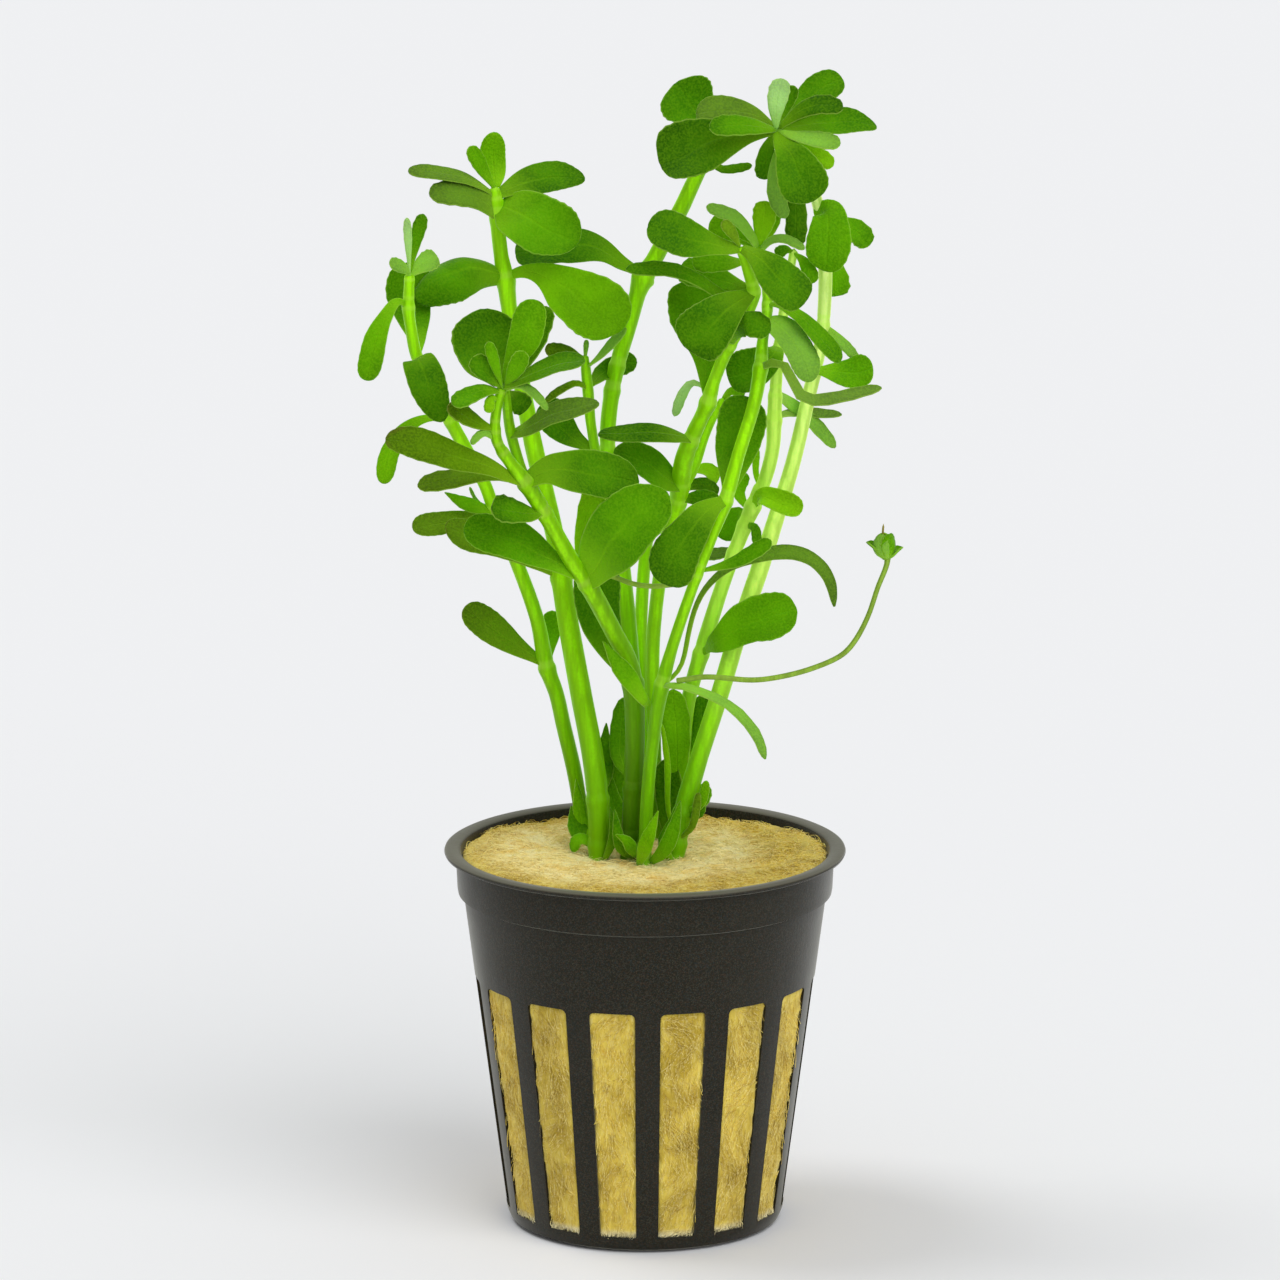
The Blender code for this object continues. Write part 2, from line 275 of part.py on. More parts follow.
# Small leaves grown as one with their stem: (stem, outline, width seen, roll, midrib)
SMALL_LEAVES = (
    ("stem_far_left", "blade", 2.6, 0, ((-12.6, 23.9, 3.8), (-12.2, 27.5, 5.6), (-12.0, 30.9, 6.4))),
    ("stem_far_left", "blade", 1.9, 20, ((-19.5, 43.8, 2.3), (-23.5, 44.9, 1.2), (-26.1, 46.3, 0.6))),
    ("stem_far_left", "strap", 0.5, 0, ((-20, 43.8, 2.3), (-22.0, 45.4, 2.6), (-22.8, 47, 2.6))),
    ("stem_far_left", "blade", 1.7, 20, ((-30.5, 74.5, -0.3), (-31.5, 75.5, -1.6), (-33.3, 76.2, -2.6))),
    ("stem_far_left", "blade", 2.8, 20, ((-30.6, 74.6, -0.2), (-28.8, 75.9, 0.4), (-26.9, 76.9, 0.8))),
    ("stem_far_left", "blade", 1.1, 0, ((-30.6, 74.6, -0.4), (-30.8, 79, -1.2), (-30.9, 82, -1.2))),
    ("stem_far_left", "blade", 1.8, 0, ((-30.6, 74.6, -0.2), (-29.8, 79, 0.2), (-28.8, 82.4, 0.4))),
    ("stem_left", "blade", 3.4, 25, ((-19.3, 83.2, 4.8), (-22, 84.3, 3.6), (-24.8, 84.9, 2),
     (-27.9, 84.9, 1))),
    ("stem_left", "blade", 2.0, 15, ((-19.5, 85.6, 4.8), (-21.2, 88.5, 3.8), (-22.8, 91.2, 3))),
    ("stem_forked", "blade", 1.9, 15, ((-1.5, 20.8, -3.2), (-4.0, 24.6, -5.2), (-5.7, 27.1, -6))),
    ("stem_forked", "blade", 3.5, 35, ((-13.1, 43.7, -8), (-15.2, 43.4, -9.4), (-20, 44.4, -10.4))),
    ("stem_forked", "blade", 2.6, 30, ((-15.5, 47.6, -8.6), (-20, 48.8, -8.2), (-25, 48.2, -7.8),
     (-29.6, 47.4, -7.4))),
    ("stem_forked", "blade", 2.3, 30, ((-19.4, 54.4, -10), (-22, 55.5, -11), (-25.7, 57.4, -12))),
    ("stem_forked", "strap", 1.0, 20, ((-19.4, 53.2, -9.9), (-20.8, 54.1, -10.8), (-21.6, 53.8, -11.2),
     (-22.6, 52.6, -11.4))),
    ("stem_forked", "blade", 1.4, 0, ((-19.0, 58.4, -10.4), (-20.1, 58.4, -11.6), (-20.4, 56.7, -12.2))),
    ("stem_forked", "blade", 2.3, 30, ((-18.7, 59.4, -10.5), (-21.5, 59.8, -12), (-25.1, 57.9, -13))),
    ("stem_forked", "blade", 2.7, 0, ((-18.6, 59.8, -10.6), (-20.6, 61.8, -11.6), (-22.9, 64.3, -12))),
    ("stem_forked", "blade", 1.5, 0, ((-18.5, 59.9, -10.8), (-19.4, 62.8, -12.2), (-20.4, 65.8, -12.8))),
    ("stem_forked", "blade", 3.4, 10, ((-18.2, 59.8, -10.3), (-15.6, 63.6, -8.8), (-12.6, 70.5, -8.2))),
    ("stem_forked", "blade", 2.2, 0, ((-18.2, 60.0, -10.6), (-16.6, 62.6, -12.6), (-15.7, 64.7, -13))),
    ("stem_forked", "strap", 1.1, 20,
     ((-18.3, 59.6, -10.4), (-16.2, 60.3, -12.2), (-14.4, 59.1, -13), (-12.7, 57.0, -13.2))),
    ("stem_forked", "blade", 2.9, 0, ((-18.1, 59.4, -10.1), (-16.8, 58.4, -8.6), (-15.3, 57.0, -8))),
    ("stem_forked", "blade", 3.0, 0, ((-8.2, 35.8, -5.8), (-8.2, 40, -4), (-7.2, 44, -3.2),
     (-5.8, 48.5, -2.8))),
    ("stem_forked", "strap", 1.3, 0, ((-1.8, -1.2, -1.9), (-3.2, 0.5, -3.8), (-4.0, 5, -4.2))),
    ("stem_long", "strap", 1.2, 0, ((8.4, 90.8, 8), (9.6, 88.5, 7), (11.6, 88.4, 6.4), (13.9, 88.8, 6))),
    ("stem_long", "blade", 1.8, 35, ((-7.7, 63.5, 4.3), (-10, 64.9, 3.4), (-12.9, 65.3, 2.8))),
    ("stem_long", "strap", 0.7, 0, ((-7.8, 63.8, 4.3), (-7.6, 66.1, 3.8))),
    ("stem_long", "blade", 1.2, 30, ((-7.6, 62.5, 4.4), (-5.5, 64.4, 2.6), (-2.5, 67.7, 2))),
    ("stem_long", "blade", 2.9, 10, ((-7.4, 59.8, 4.6), (-5.4, 61.8, 8.2), (-3.2, 62.9, 9.8),
     (-1.1, 63.4, 10))),
    ("stem_long", "strap", 1.0, 35, ((-7.5, 59.8, 4.4), (-9, 60.5, 3.4), (-10.6, 59.8, 2.8),
     (-13, 58, 2.2))),
    ("stem_branching", "blade", 1.5, 10, ((12.3, 78.2, -7.2), (11.4, 79.9, -8), (10.1, 81.5, -8.4))),
    ("stem_branching", "blade", 3.4, 10, ((11.0, 65.6, -5.2), (12.0, 67.6, -8.8), (13.5, 68.3, -10),
     (16.4, 67.2, -10.6))),
    ("stem_branching", "strap", 1.9, 30,
     ((14.1, 72.2, -6.2), (11, 71.4, -5.4), (9.2, 72.3, -5.8), (6.5, 74.1, -6.4), (3, 75.2, -7),
     (-2.4, 75.3, -7.6))),
    ("stem_branching", "blade", 1.3, 10, ((8.6, 59.4, -4), (6.2, 60.6, -2.4), (4.8, 59, -1.6),
     (3.8, 56.2, -1.2))),
    ("stem_branching", "blade", 2.2, 20, ((4.6, 46.4, -0.6), (7.3, 47.2, 1.4), (9.3, 46, 2))),
    ("stem_branching", "blade", 2.4, 20, ((4.2, 45.2, -0.4), (7.0, 45.5, -1.2), (9.6, 44.9, -1.6))),
    ("stem_branching", "blade", 2.2, 20, ((6.0, 48.9, 0.3), (7.8, 49.2, 1.8), (9.5, 48, 2.6))),
    ("stem_branching", "blade", 3.8, 15, ((14.0, 72.8, -6.3), (10.5, 73.4, -3.6), (7, 74.6, -2.6),
     (4.3, 75.4, -2))),
    ("stem_branching", "blade", 3.0, 20, ((13.0, 76.2, -6.9), (11, 76.1, -5), (9, 76.4, -4.6),
     (6, 76.6, -4.2))),
    ("stem_branching", "strap", 1.2, 10, ((10.2, 58.5, 2), (11.3, 59.5, 2.6), (13, 59, 3))),
    ("stem_front", "strap", 1.3, 30,
     ((2.3, 21.2, -4.8), (5, 21.0, -7.6), (8, 20.0, -8.4), (10.5, 18.8, -8.8), (12.6, 17.1, -9),
     (14.6, 14.6, -9.2),
     (15.7, 11.6, -9.2))),
    ("stem_front", "blade", 2.0, 20, ((6.9, 36.0, -6.1), (11.2, 37.0, -6.4), (13.6, 38.2, -6.8),
     (16.4, 40, -7))),
    ("stem_front", "strap", 1.6, 15,
     ((15.0, 62.6, -4.6), (17.3, 63.2, -6.6), (18.4, 62.3, -7.4), (19.1, 60.7, -8), (20, 59, -8.2),
     (21.5, 58.2, -8.2),
     (25, 58.6, -8.2), (30.8, 59.9, -8))),
    ("stem_front", "blade", 3.4, 15, ((15.0, 77.8, -0.5), (12, 79.9, 1.0), (8.4, 81.4, 1.6))),
    ("stem_front", "strap", 1.7, 15, ((14.9, 77.9, -0.5), (13.4, 80.5, -1.6), (11.5, 82.5, -2.2),
     (8.0, 83.9, -2.6))),
    ("stem_front", "blade", 2.4, 0, ((14.9, 78.1, -0.4), (13, 80.1, 0), (11.3, 82, 0))),
    ("stem_front", "blade", 3.0, 10, ((14.8, 78.2, -0.5), (15.4, 81, -1.4), (15.7, 84.1, -1.6))),
    ("stem_front", "blade", 2.6, 0, ((14.9, 78.0, -0.3), (16.1, 81, 0.8), (16.9, 83.9, 1))),
    ("stem_front", "strap", 1.2, 30, ((15.0, 77.8, -0.6), (16.5, 79.1, -2.6), (18.3, 79.2, -3.4),
     (20.8, 77.9, -4))),
    ("stem_front", "blade", 1.6, 0, ((0.1, -1.2, -3), (0.2, 1.2, -5), (1.5, 4.3, -5.6))),
    ("stem_front", "strap", 1.4, 0, ((0.2, -1.0, -2.9), (2.2, 0.2, -4.6), (3.6, 2.6, -5), (4.5, 5.7, -5))),
    ("stem_middle_right", "blade", 1.8, 10, ((13.8, 43.6, 2.5), (12.2, 46.4, 4.4), (13.2, 48.8, 4.8))),
    ("stem_middle_right", "blade", 3.4, 10, ((13.4, 43.2, 2.5), (12.2, 43.4, 4.6), (11.2, 42.4, 5.2),
     (9.9, 40.4, 5.4))),
    ("stem_middle_right", "strap", 0.9, 0, ((15.0, 46.8, 2.4), (14.4, 49, 4), (14.6, 52, 4.4))),
    ("stem_middle_right", "strap", 1.3, 0, ((13.0, 42, 2.6), (14.3, 41.6, 0.8), (14.6, 39.2, 0.2))),
    ("stem_middle_right", "blade", 1.5, 40, ((11.6, 38.6, 2.7), (10.6, 38.4, 4.8), (8, 38.1, 5.4))),
    ("stem_middle_right", "strap", 1.3, 30,
     ((16.8, 55.8, 2), (18.4, 56.5, 6.4), (20.4, 56.7, 10), (22.5, 56.6, 10.4), (25.6, 56.4, 10.4))),
    ("stem_middle_right", "strap", 1.9, 20,
     ((16.9, 58.9, 2), (18.6, 58.1, 7), (21.7, 55.5, 10), (24.8, 52.1, 10.4))),
    ("stem_middle_right", "blade", 1.9, 0, ((19.3, 77.5, 2), (20.4, 76.6, 1), (21.2, 75.2, 0.4),
     (21.9, 73.5, 0.2))),
    ("stem_middle_right", "blade", 1.6, 0, ((19.3, 77.6, 2), (18.2, 77.9, 1.6), (17.0, 77.2, 1.4))),
    ("stem_right", "blade", 3.2, 15, ((23.1, 80.2, 4.3), (26, 81, 5.4), (28, 80.3, 5.8), (29.5, 78.8, 5.8))),
    ("stem_right", "blade", 4.2, 10, ((23.4, 77.0, 5.2), (24.6, 75.6, 7), (24.9, 71.8, 7.6))),
    ("stem_right", "strap", 1.4, 10, ((23.2, 68, 5.6), (25.4, 66, 5), (27.7, 63.6, 4.6))),
    ("stem_right", "blade", 2.8, 30, ((17.2, 93.4, -2.1), (13.8, 93.8, -5), (11, 93.9, -6.2),
     (8.3, 93.8, -6.8))),
    ("stem_right", "blade", 2.6, 0, ((17.2, 93.3, -2.1), (17.0, 96.4, -3.2), (17.7, 100, -3))),
    ("stem_right", "blade", 1.9, 0, ((17.3, 93.4, -2), (18.2, 96.4, -0.8), (19.4, 99.2, -0.6))),
    ("stem_right", "blade", 2.6, 30, ((17.3, 93.4, -2.1), (20.2, 95.9, -3.4), (23, 96.7, -4),
     (25.8, 96.2, -4.2))),
    ("stem_right", "blade", 2.2, 30, ((17.3, 93.3, -2.2), (20.5, 92.7, -4), (25.6, 91.9, -4.8))),
    ("stem_right", "blade", 2.4, 10, ((17.6, 93.0, -1.9), (20.4, 91.1, -2.6), (24.4, 88.7, -2.6))),
    ("stem_right", "blade", 2.6, 0, ((17.3, 93.3, -1.9), (15.6, 91.2, -1.4), (15.3, 87.2, -1))),
    ("stem_right", "strap", 2.2, 0, ((18.1, 92.4, -1.4), (16.8, 89.0, -2.6), (16.8, 85, -2.8),
     (18.1, 82.0, -2.6))),
    ("stem_right", "blade", 2.8, 0, ((19.9, 90.2, -0.1), (19.6, 86, -1.4), (19.7, 82, -1.4),
     (19.7, 78.2, -1.2))),
    ("stem_right", "strap", 1.2, 0, ((5.0, 4.8, -0.7), (7.4, 5.6, -2.4), (8.4, 9, -2.6))),
    ("stem_right", "strap", 1.0, 0, ((4.2, 1.0, -1), (6.2, 3.0, -2.6), (6.9, 7.2, -2.8))),
    ("stem_left", "strap", 1.6, 0, ((-6.1, 1.0, -1), (-8.0, 2.4, 0.8), (-8.9, 9, 1.2))),
    ("stem_left", "blade", 2.2, 0, ((-6.3, 6.6, -1.1), (-5.4, 10, 1.4), (-5.0, 16.3, 1.6))),
)

TOWARD_EYE = Vector((0.0, -math.cos(EYE_PITCH), math.sin(EYE_PITCH)))
EYE_UPWARD = Vector((0.0, math.sin(EYE_PITCH), math.cos(EYE_PITCH)))
EYE = RIM_CENTRE + TOWARD_EYE * EYE_DISTANCE + EYE_UPWARD * EYE_ABOVE - Vector((EYE_LEFT, 0.0, 0.0))

# Colour, roughness
POT_LOOK = ((0.018, 0.018, 0.017, 1.0), 0.5)
WOOL_LOOK = ((0.55, 0.42, 0.14, 1.0), 0.95)
STEM_LOOK = ((0.30, 0.62, 0.03, 1.0), 0.4)
LEAF_LOOK = ((0.06, 0.24, 0.01, 1.0), 0.42)
BROWN_LEAF_LOOK = ((0.11, 0.17, 0.02, 1.0), 0.5)


# Scene and materials

def clear_scene():
    for obj in list(bpy.data.objects):
        bpy.data.objects.remove(obj, do_unlink=True)


def new_collection(name):
    collection = bpy.data.collections.new(name)
    bpy.context.scene.collection.children.link(collection)
    return collection


def material(name, look):
    colour, roughness = look
    made = bpy.data.materials.get(name)
    if made is None:
        made = bpy.data.materials.new(name)
        made.use_nodes = True
        shader = made.node_tree.nodes["Principled BSDF"]
        shader.inputs["Base Color"].default_value = colour
        shader.inputs["Roughness"].default_value = roughness
        shader.inputs["Metallic"].default_value = 0.0
        made.diffuse_color = colour
    return made


def add_object(name, mesh, collection, look_name=None, look=None):
    obj = bpy.data.objects.new(name, mesh)
    collection.objects.link(obj)
    if look_name:
        mesh.materials.clear()
        mesh.materials.append(material(look_name, look))
    return obj


def as_helper(obj):
    obj.hide_render = True
    obj.display_type = "WIRE"
    return obj


def add_boolean(obj, operation, other, use_self=False):
    modifier = obj.modifiers.new(other.name, "BOOLEAN")
    modifier.operation = operation
    modifier.object = other
    modifier.use_self = use_self


def finished_mesh(build):
    """The mesh that a bmesh holds, with its faces pointing out."""
    bmesh.ops.recalc_face_normals(build, faces=build.faces)
    mesh = bpy.data.meshes.new("mesh")
    build.to_mesh(mesh)
    build.free()
    return mesh


# Places and smooth paths

def seen(across, up, depth):
    """The point in millimetres that shows at across and up, and lies depth behind the pot's axis."""
    on_plane = RIM_CENTRE + Vector((across, 0.0, 0.0)) + EYE_UPWARD * up
    ray = on_plane - EYE
    return EYE + ray * ((depth - EYE.y) / ray.y)


class Path:
    """A smooth curve through points, measured along its length, with one more value at each point."""

    def __init__(self, points, values):
        self.points = points
        self.values = values
        self.marks = [0.0]
        for start, end in zip(points, points[1:]):
            self.marks.append(self.marks[-1] + (end - start).length)
        self.length = self.marks[-1]

    def slope(self, i):
        before = max(i - 1, 0)
        after = min(i + 1, len(self.points) - 1)
        return (self.points[after] - self.points[before]) / (self.marks[after] - self.marks[before])

    def at(self, distance):
        i = 0
        while i < len(self.points) - 2 and distance > self.marks[i + 1]:
            i += 1
        span = self.marks[i + 1] - self.marks[i]
        t = (distance - self.marks[i]) / span
        point = (
            self.points[i] * (2 * t**3 - 3 * t**2 + 1)
            + self.slope(i) * (span * (t**3 - 2 * t**2 + t))
            + self.points[i + 1] * (3 * t**2 - 2 * t**3)
            + self.slope(i + 1) * (span * (t**3 - t**2))
        )
        return point, self.values[i] + (self.values[i + 1] - self.values[i]) * t

    def spaced(self, spacing):
        """Points and values about every spacing."""
        steps = max(2, round(self.length / spacing))
        return [self.at(self.length * step / steps) for step in range(steps + 1)]


def path_through(rows):
    """The path of a stem's rows of (across, up, back, width)."""
    points = [seen(across, up, back * STEM_DEPTH) for across, up, back, _ in rows]
    return Path(points, [width for *_, width in rows])


def midrib_path(rows):
    """The path of a leaf's rows of (across, up, back), the first of which is on its stem."""
    foot = rows[0][2]
    depths = [foot * STEM_DEPTH + (back - foot) * LEAF_DEPTH for *_, back in rows]
    points = [seen(across, up, depth) for (across, up, _), depth in zip(rows, depths)]
    return Path(points, [0.0] * len(points))


# Pot

def body_radius(height):
    """The outer radius of the tapering body."""
    rise = (height - BASE_EDGE_RADIUS) / (RIM_HEIGHT - COLLAR_DEPTH - BASE_EDGE_RADIUS)
    return BODY_BASE_RADIUS + (BODY_TOP_RADIUS - BODY_BASE_RADIUS) * rise


def pot_profile():
    """The wall's outline: from the middle of the floor up the inside, over the lip and down the outside."""
    collar_bottom = RIM_HEIGHT - COLLAR_DEPTH
    under_lip = RIM_HEIGHT - LIP_THICKNESS
    edge = LIP_THICKNESS / 2
    collar_inside = COLLAR_RADIUS - WALL
    inside = [
        (0.0, FLOOR),
        (body_radius(FLOOR) - WALL - 0.6, FLOOR),
        (body_radius(FLOOR + 0.8) - WALL, FLOOR + 0.8),
        (body_radius(collar_bottom - 1.0) - WALL, collar_bottom - 1.0),
        (collar_inside, RIM_HEIGHT - 0.5),
        (collar_inside + 0.4, RIM_HEIGHT),
    ]
    outside = [
        (RIM_RADIUS - edge, RIM_HEIGHT),
        (RIM_RADIUS, RIM_HEIGHT - edge),
        (RIM_RADIUS - edge, under_lip),
        (COLLAR_RADIUS, under_lip),
        (COLLAR_RADIUS - 0.2, collar_bottom + 0.6),
        (body_radius(collar_bottom - 0.5), collar_bottom - 0.3),
        (body_radius(BASE_EDGE_RADIUS), BASE_EDGE_RADIUS),
        (BODY_BASE_RADIUS - BASE_EDGE_RADIUS, 0.0),
        (0.0, 0.0),
    ]
    return inside + outside


def turned(name, profile, steps, collection, look_name, look):
    """A solid turned about the Z axis from a profile of (radius, height)."""
    mesh = bpy.data.meshes.new(name)
    points = [(radius * MM, 0.0, height * MM) for radius, height in profile]
    mesh.from_pydata(points, [(i, i + 1) for i in range(len(points) - 1)], [])
    obj = add_object(name, mesh, collection, look_name, look)
    screw = obj.modifiers.new("turn", "SCREW")
    screw.steps = steps
    screw.render_steps = steps
    screw.use_merge_vertices = True
    screw.merge_threshold = 0.00001
    screw.use_normal_calculate = True
    return obj


def slot_angle(index):
    return 2 * math.pi * (index + 0.5) / SLOTS


def add_tapered_box(build, half_low, half_high, heights, radii, angle, corner):
    """A block that stands radially: half widths, heights and (inner, outer) radii at its bottom and top."""
    made = bmesh.ops.create_cube(build, size=2.0)["verts"]
    for vertex in made:
        high = vertex.co.z > 0
        inner, outer = radii[1] if high else radii[0]
        half = half_high if high else half_low
        radius = outer if vertex.co.y < 0 else inner
        height = heights[1] if high else heights[0]
        vertex.co = Vector((math.copysign(half, vertex.co.x), -radius, height)) * MM
    if corner:
        edges = {edge for vertex in made for edge in vertex.link_edges}
        radial = [edge for edge in edges if abs(edge.verts[0].co.y - edge.verts[1].co.y) > 0.001]
        bevelled = bmesh.ops.bevel(
            build, geom=radial, offset=corner * MM, segments=1, affect="EDGES"
        )
        made = list({vertex for face in bevelled["faces"] for vertex in face.verts})
    bmesh.ops.rotate(build, verts=made, cent=(0, 0, 0), matrix=Matrix.Rotation(angle, 3, "Z"))


def make_pot(parts, helpers):
    pot = turned("pot", pot_profile(), POT_STEPS, parts, "black_plastic", POT_LOOK)
    build = bmesh.new()
    slot_radii = (BODY_BASE_RADIUS - 6.0, RIM_RADIUS + 3.0)
    for index in range(SLOTS):
        add_tapered_box(
            build, SLOT_WIDTH_BOTTOM / 2, SLOT_WIDTH_TOP / 2, (SLOT_BOTTOM, SLOT_TOP),
            (slot_radii, slot_radii),
            slot_angle(index), SLOT_CORNER,
        )
    floor_radii = (FLOOR_SLOT_INNER, FLOOR_SLOT_OUTER)
    for index in range(FLOOR_SLOTS):
        half = FLOOR_SLOT_WIDTH / 2
        turn = 2 * math.pi * index / FLOOR_SLOTS
        add_tapered_box(build, half, half, (-1.0, FLOOR + 1.0), (floor_radii, floor_radii), turn, 0)
    cutter = as_helper(add_object("pot_slots", finished_mesh(build), helpers))
    add_boolean(pot, "DIFFERENCE", cutter)


# Rockwool

def wool_profile():
    """Turned from the middle of the top to the middle of the bottom."""
    inner_wall = WALL + GAP
    shoulder = RIM_HEIGHT - COLLAR_DEPTH
    return [
        (0.0, WOOL_TOP - WOOL_SAG),
        (17.0, WOOL_TOP),
        (body_radius(shoulder) - inner_wall, WOOL_TOP - 0.6),
        (body_radius(shoulder - 1.2) - inner_wall, shoulder - 1.2),
        (body_radius(FLOOR + 1.6) - inner_wall, FLOOR + 1.6),
        (body_radius(FLOOR) - inner_wall - 1.3, FLOOR + GAP),
        (0.0, FLOOR + GAP),
    ]


def make_rockwool(parts, helpers):
    wool = turned("rockwool", wool_profile(), WOOL_STEPS, parts, "rockwool", WOOL_LOOK)
    low = SLOT_BOTTOM + GAP
    high = SLOT_TOP - GAP
    surfaces = [body_radius(height) for height in (low, high)]
    radii = [(surface - WALL - PAD_ROOT, surface - PAD_RECESS) for surface in surfaces]
    build = bmesh.new()
    for index in range(SLOTS):
        add_tapered_box(
            build, SLOT_WIDTH_BOTTOM / 2 - GAP, SLOT_WIDTH_TOP / 2 - GAP,
            (low, high), radii, slot_angle(index), 0
        )
    pads = as_helper(add_object("wool_pads", finished_mesh(build), helpers))
    add_boolean(wool, "UNION", pads)
    build = bmesh.new()
    for rows in STEMS.values():
        path = path_through(rows)
        end = path.marks[1]
        foot, top = path.points[0], path.points[1] + (path.points[1] - path.points[0]) * 0.4
        reach = (foot - top).normalized() * SOCKET_GAP
        add_rod(build, foot + reach, top, path.at(end / 2)[1] / 2 + SOCKET_GAP)
    sockets = as_helper(add_object("stem_sockets", finished_mesh(build), helpers))
    add_boolean(wool, "DIFFERENCE", sockets, use_self=True)


def add_rod(build, start, end, radius):
    """An eight-sided rod between two points in millimetres."""
    axis = end - start
    turn = axis.to_track_quat("Z", "Y").to_matrix().to_4x4()
    place = Matrix.Translation((start + end) / 2 * MM) @ turn
    bmesh.ops.create_cone(
        build, cap_ends=True, segments=8, radius1=radius * MM, radius2=radius * MM, depth=axis.length * MM,
        matrix=place,
    )


# Stems

def tube_mesh(name, path, spacing):
    """A round stem along a path, as a mesh with welded caps."""
    curve = bpy.data.curves.new(name, "CURVE")
    curve.dimensions = "3D"
    curve.bevel_depth = MM / 2
    curve.bevel_resolution = 1
    curve.use_fill_caps = True
    stations = path.spaced(spacing)
    spline = curve.splines.new("POLY")
    spline.points.add(len(stations) - 1)
    for control, (point, width) in zip(spline.points, stations):
        control.co = (*(point * MM), 1.0)
        control.radius = width
    guide = bpy.data.objects.new(name, curve)
    bpy.context.scene.collection.objects.link(guide)
    mesh = bpy.data.meshes.new_from_object(guide.evaluated_get(bpy.context.evaluated_depsgraph_get()))
    bpy.data.objects.remove(guide, do_unlink=True)
    build = bmesh.new()
    build.from_mesh(mesh)
    bmesh.ops.remove_doubles(build, verts=build.verts, dist=0.000001)
    bpy.data.meshes.remove(mesh)
    return finished_mesh(build)


def make_stems(parts, helpers):
    for name, rows in STEMS.items():
        path = path_through(rows)
        stem = add_object(name, tube_mesh(name, path, STEM_POINT_SPACING), parts, "stem_green", STEM_LOOK)
        grown = bpy.data.collections.new(name + "_grown")
        helpers.children.link(grown)
        for number, shoot in enumerate(SIDE_SHOOTS.get(name, ())):
            mesh = tube_mesh(name, path_through(shoot), STEM_POINT_SPACING)
            as_helper(add_object(f"{name}_shoot_{number}", mesh, grown))
        own = [row[1:] for row in SMALL_LEAVES if row[0] == name]
        for number, (outline, width, roll, midrib) in enumerate(own):
            mesh = leaf_mesh(midrib, outline, width, roll, SMALL_LEAF_STATIONS)
            as_helper(add_object(f"{name}_small_{number}", mesh, grown))
        if grown.objects:
            union = stem.modifiers.new("grown", "BOOLEAN")
            union.operation = "UNION"
            union.operand_type = "COLLECTION"
            union.collection = grown


def make_flower_stalks(parts, helpers):
    for name, rows in FLOWER_STALKS.items():
        mesh = tube_mesh(name, path_through(rows), STALK_POINT_SPACING)
        stalk = add_object(name, mesh, parts, "stem_green", STEM_LOOK)
        if name == "flower_stalk":
            add_boolean(stalk, "UNION", as_helper(add_object("calyx_cup", calyx_cup(), helpers)))
            for number in range(SEPALS):
                add_boolean(stalk, "UNION", as_helper(add_object(f"sepal_{number}", sepal(number), helpers)))


def calyx_centre():
    across, up, back = CALYX_CENTRE
    return seen(across, up, back * STEM_DEPTH)


def calyx_cup():
    build = bmesh.new()
    bmesh.ops.create_uvsphere(
        build, u_segments=6, v_segments=4, radius=CALYX_RADIUS * MM,
        matrix=Matrix.Translation(calyx_centre() * MM),
    )
    return finished_mesh(build)


def sepal(number):
    """A small pointed leaf that rises out of the cup and leans outwards."""
    turn = 2 * math.pi * (number + 0.3) / SEPALS
    outward = Vector((math.cos(turn), math.sin(turn), 0.0))
    base = calyx_centre() + outward * 0.35 * CALYX_RADIUS
    points = [base, base + outward * 0.8 + Vector((0, 0, SEPAL_LENGTH / 2))]
    points.append(base + outward * 1.2 + Vector((0, 0, SEPAL_LENGTH)))
    return lofted_leaf(Path(points, [0.0] * 3), "strap", SEPAL_WIDTH, outward, SMALL_LEAF_STATIONS, 0.0)


# Leaves

def outline_share(outline, t):
    """The half width at t along the blade, as a share of the widest."""
    table = BLADE_OUTLINE if outline == "blade" else STRAP_OUTLINE
    for (start, low), (end, high) in zip(table, table[1:]):
        if t <= end:
            return low + (high - low) * (t - start) / (end - start)
    return table[-1][1]


def leaf_section(path, share, outline, width, facing):
    """The corners of the lens-shaped section at a share of the midrib: one edge, face, other edge, back."""
    point, _ = path.at(path.length * share)
    behind, _ = path.at(path.length * max(share - 0.02, 0.0))
    ahead, _ = path.at(path.length * min(share + 0.02, 1.0))
    along = (ahead - behind).normalized()
    face = (facing - along * facing.dot(along)).normalized()
    side = along.cross(face)
    half = width / 2 * outline_share(outline, share)
    thick = LEAF_THICKNESS / 2 * (0.6 + 0.4 * min(1.0, half))
    middle = point + face * half * LEAF_CUP
    return middle + side * half, point + face * thick, middle - side * half, point - face * thick


def lofted_leaf(path, outline, width, facing, stations, start):
    """A leaf between sections along a path, its upper face turned to facing."""
    build = bmesh.new()
    rings = []
    for station in stations:
        share = start + (1.0 - start) * station
        corners = leaf_section(path, share, outline, width, facing)
        rings.append([build.verts.new(corner * MM) for corner in corners])
    for ring, after in zip(rings, rings[1:]):
        for i in range(4):
            j = (i + 1) % 4
            build.faces.new((ring[i], ring[j], after[j], after[i]))
    build.faces.new(rings[0])
    build.faces.new(rings[-1])
    return finished_mesh(build)


def leaf_facing(path, roll):
    """The direction of the upper face: toward the eye, turned up about the midrib by roll degrees."""
    chord = (path.points[-1] - path.points[0]).normalized()
    toward = (TOWARD_EYE - chord * TOWARD_EYE.dot(chord)).normalized()
    side = chord.cross(toward)
    upward = -side if chord.x > 0 else side
    turn = math.radians(roll)
    return toward * math.cos(turn) + upward * math.sin(turn)


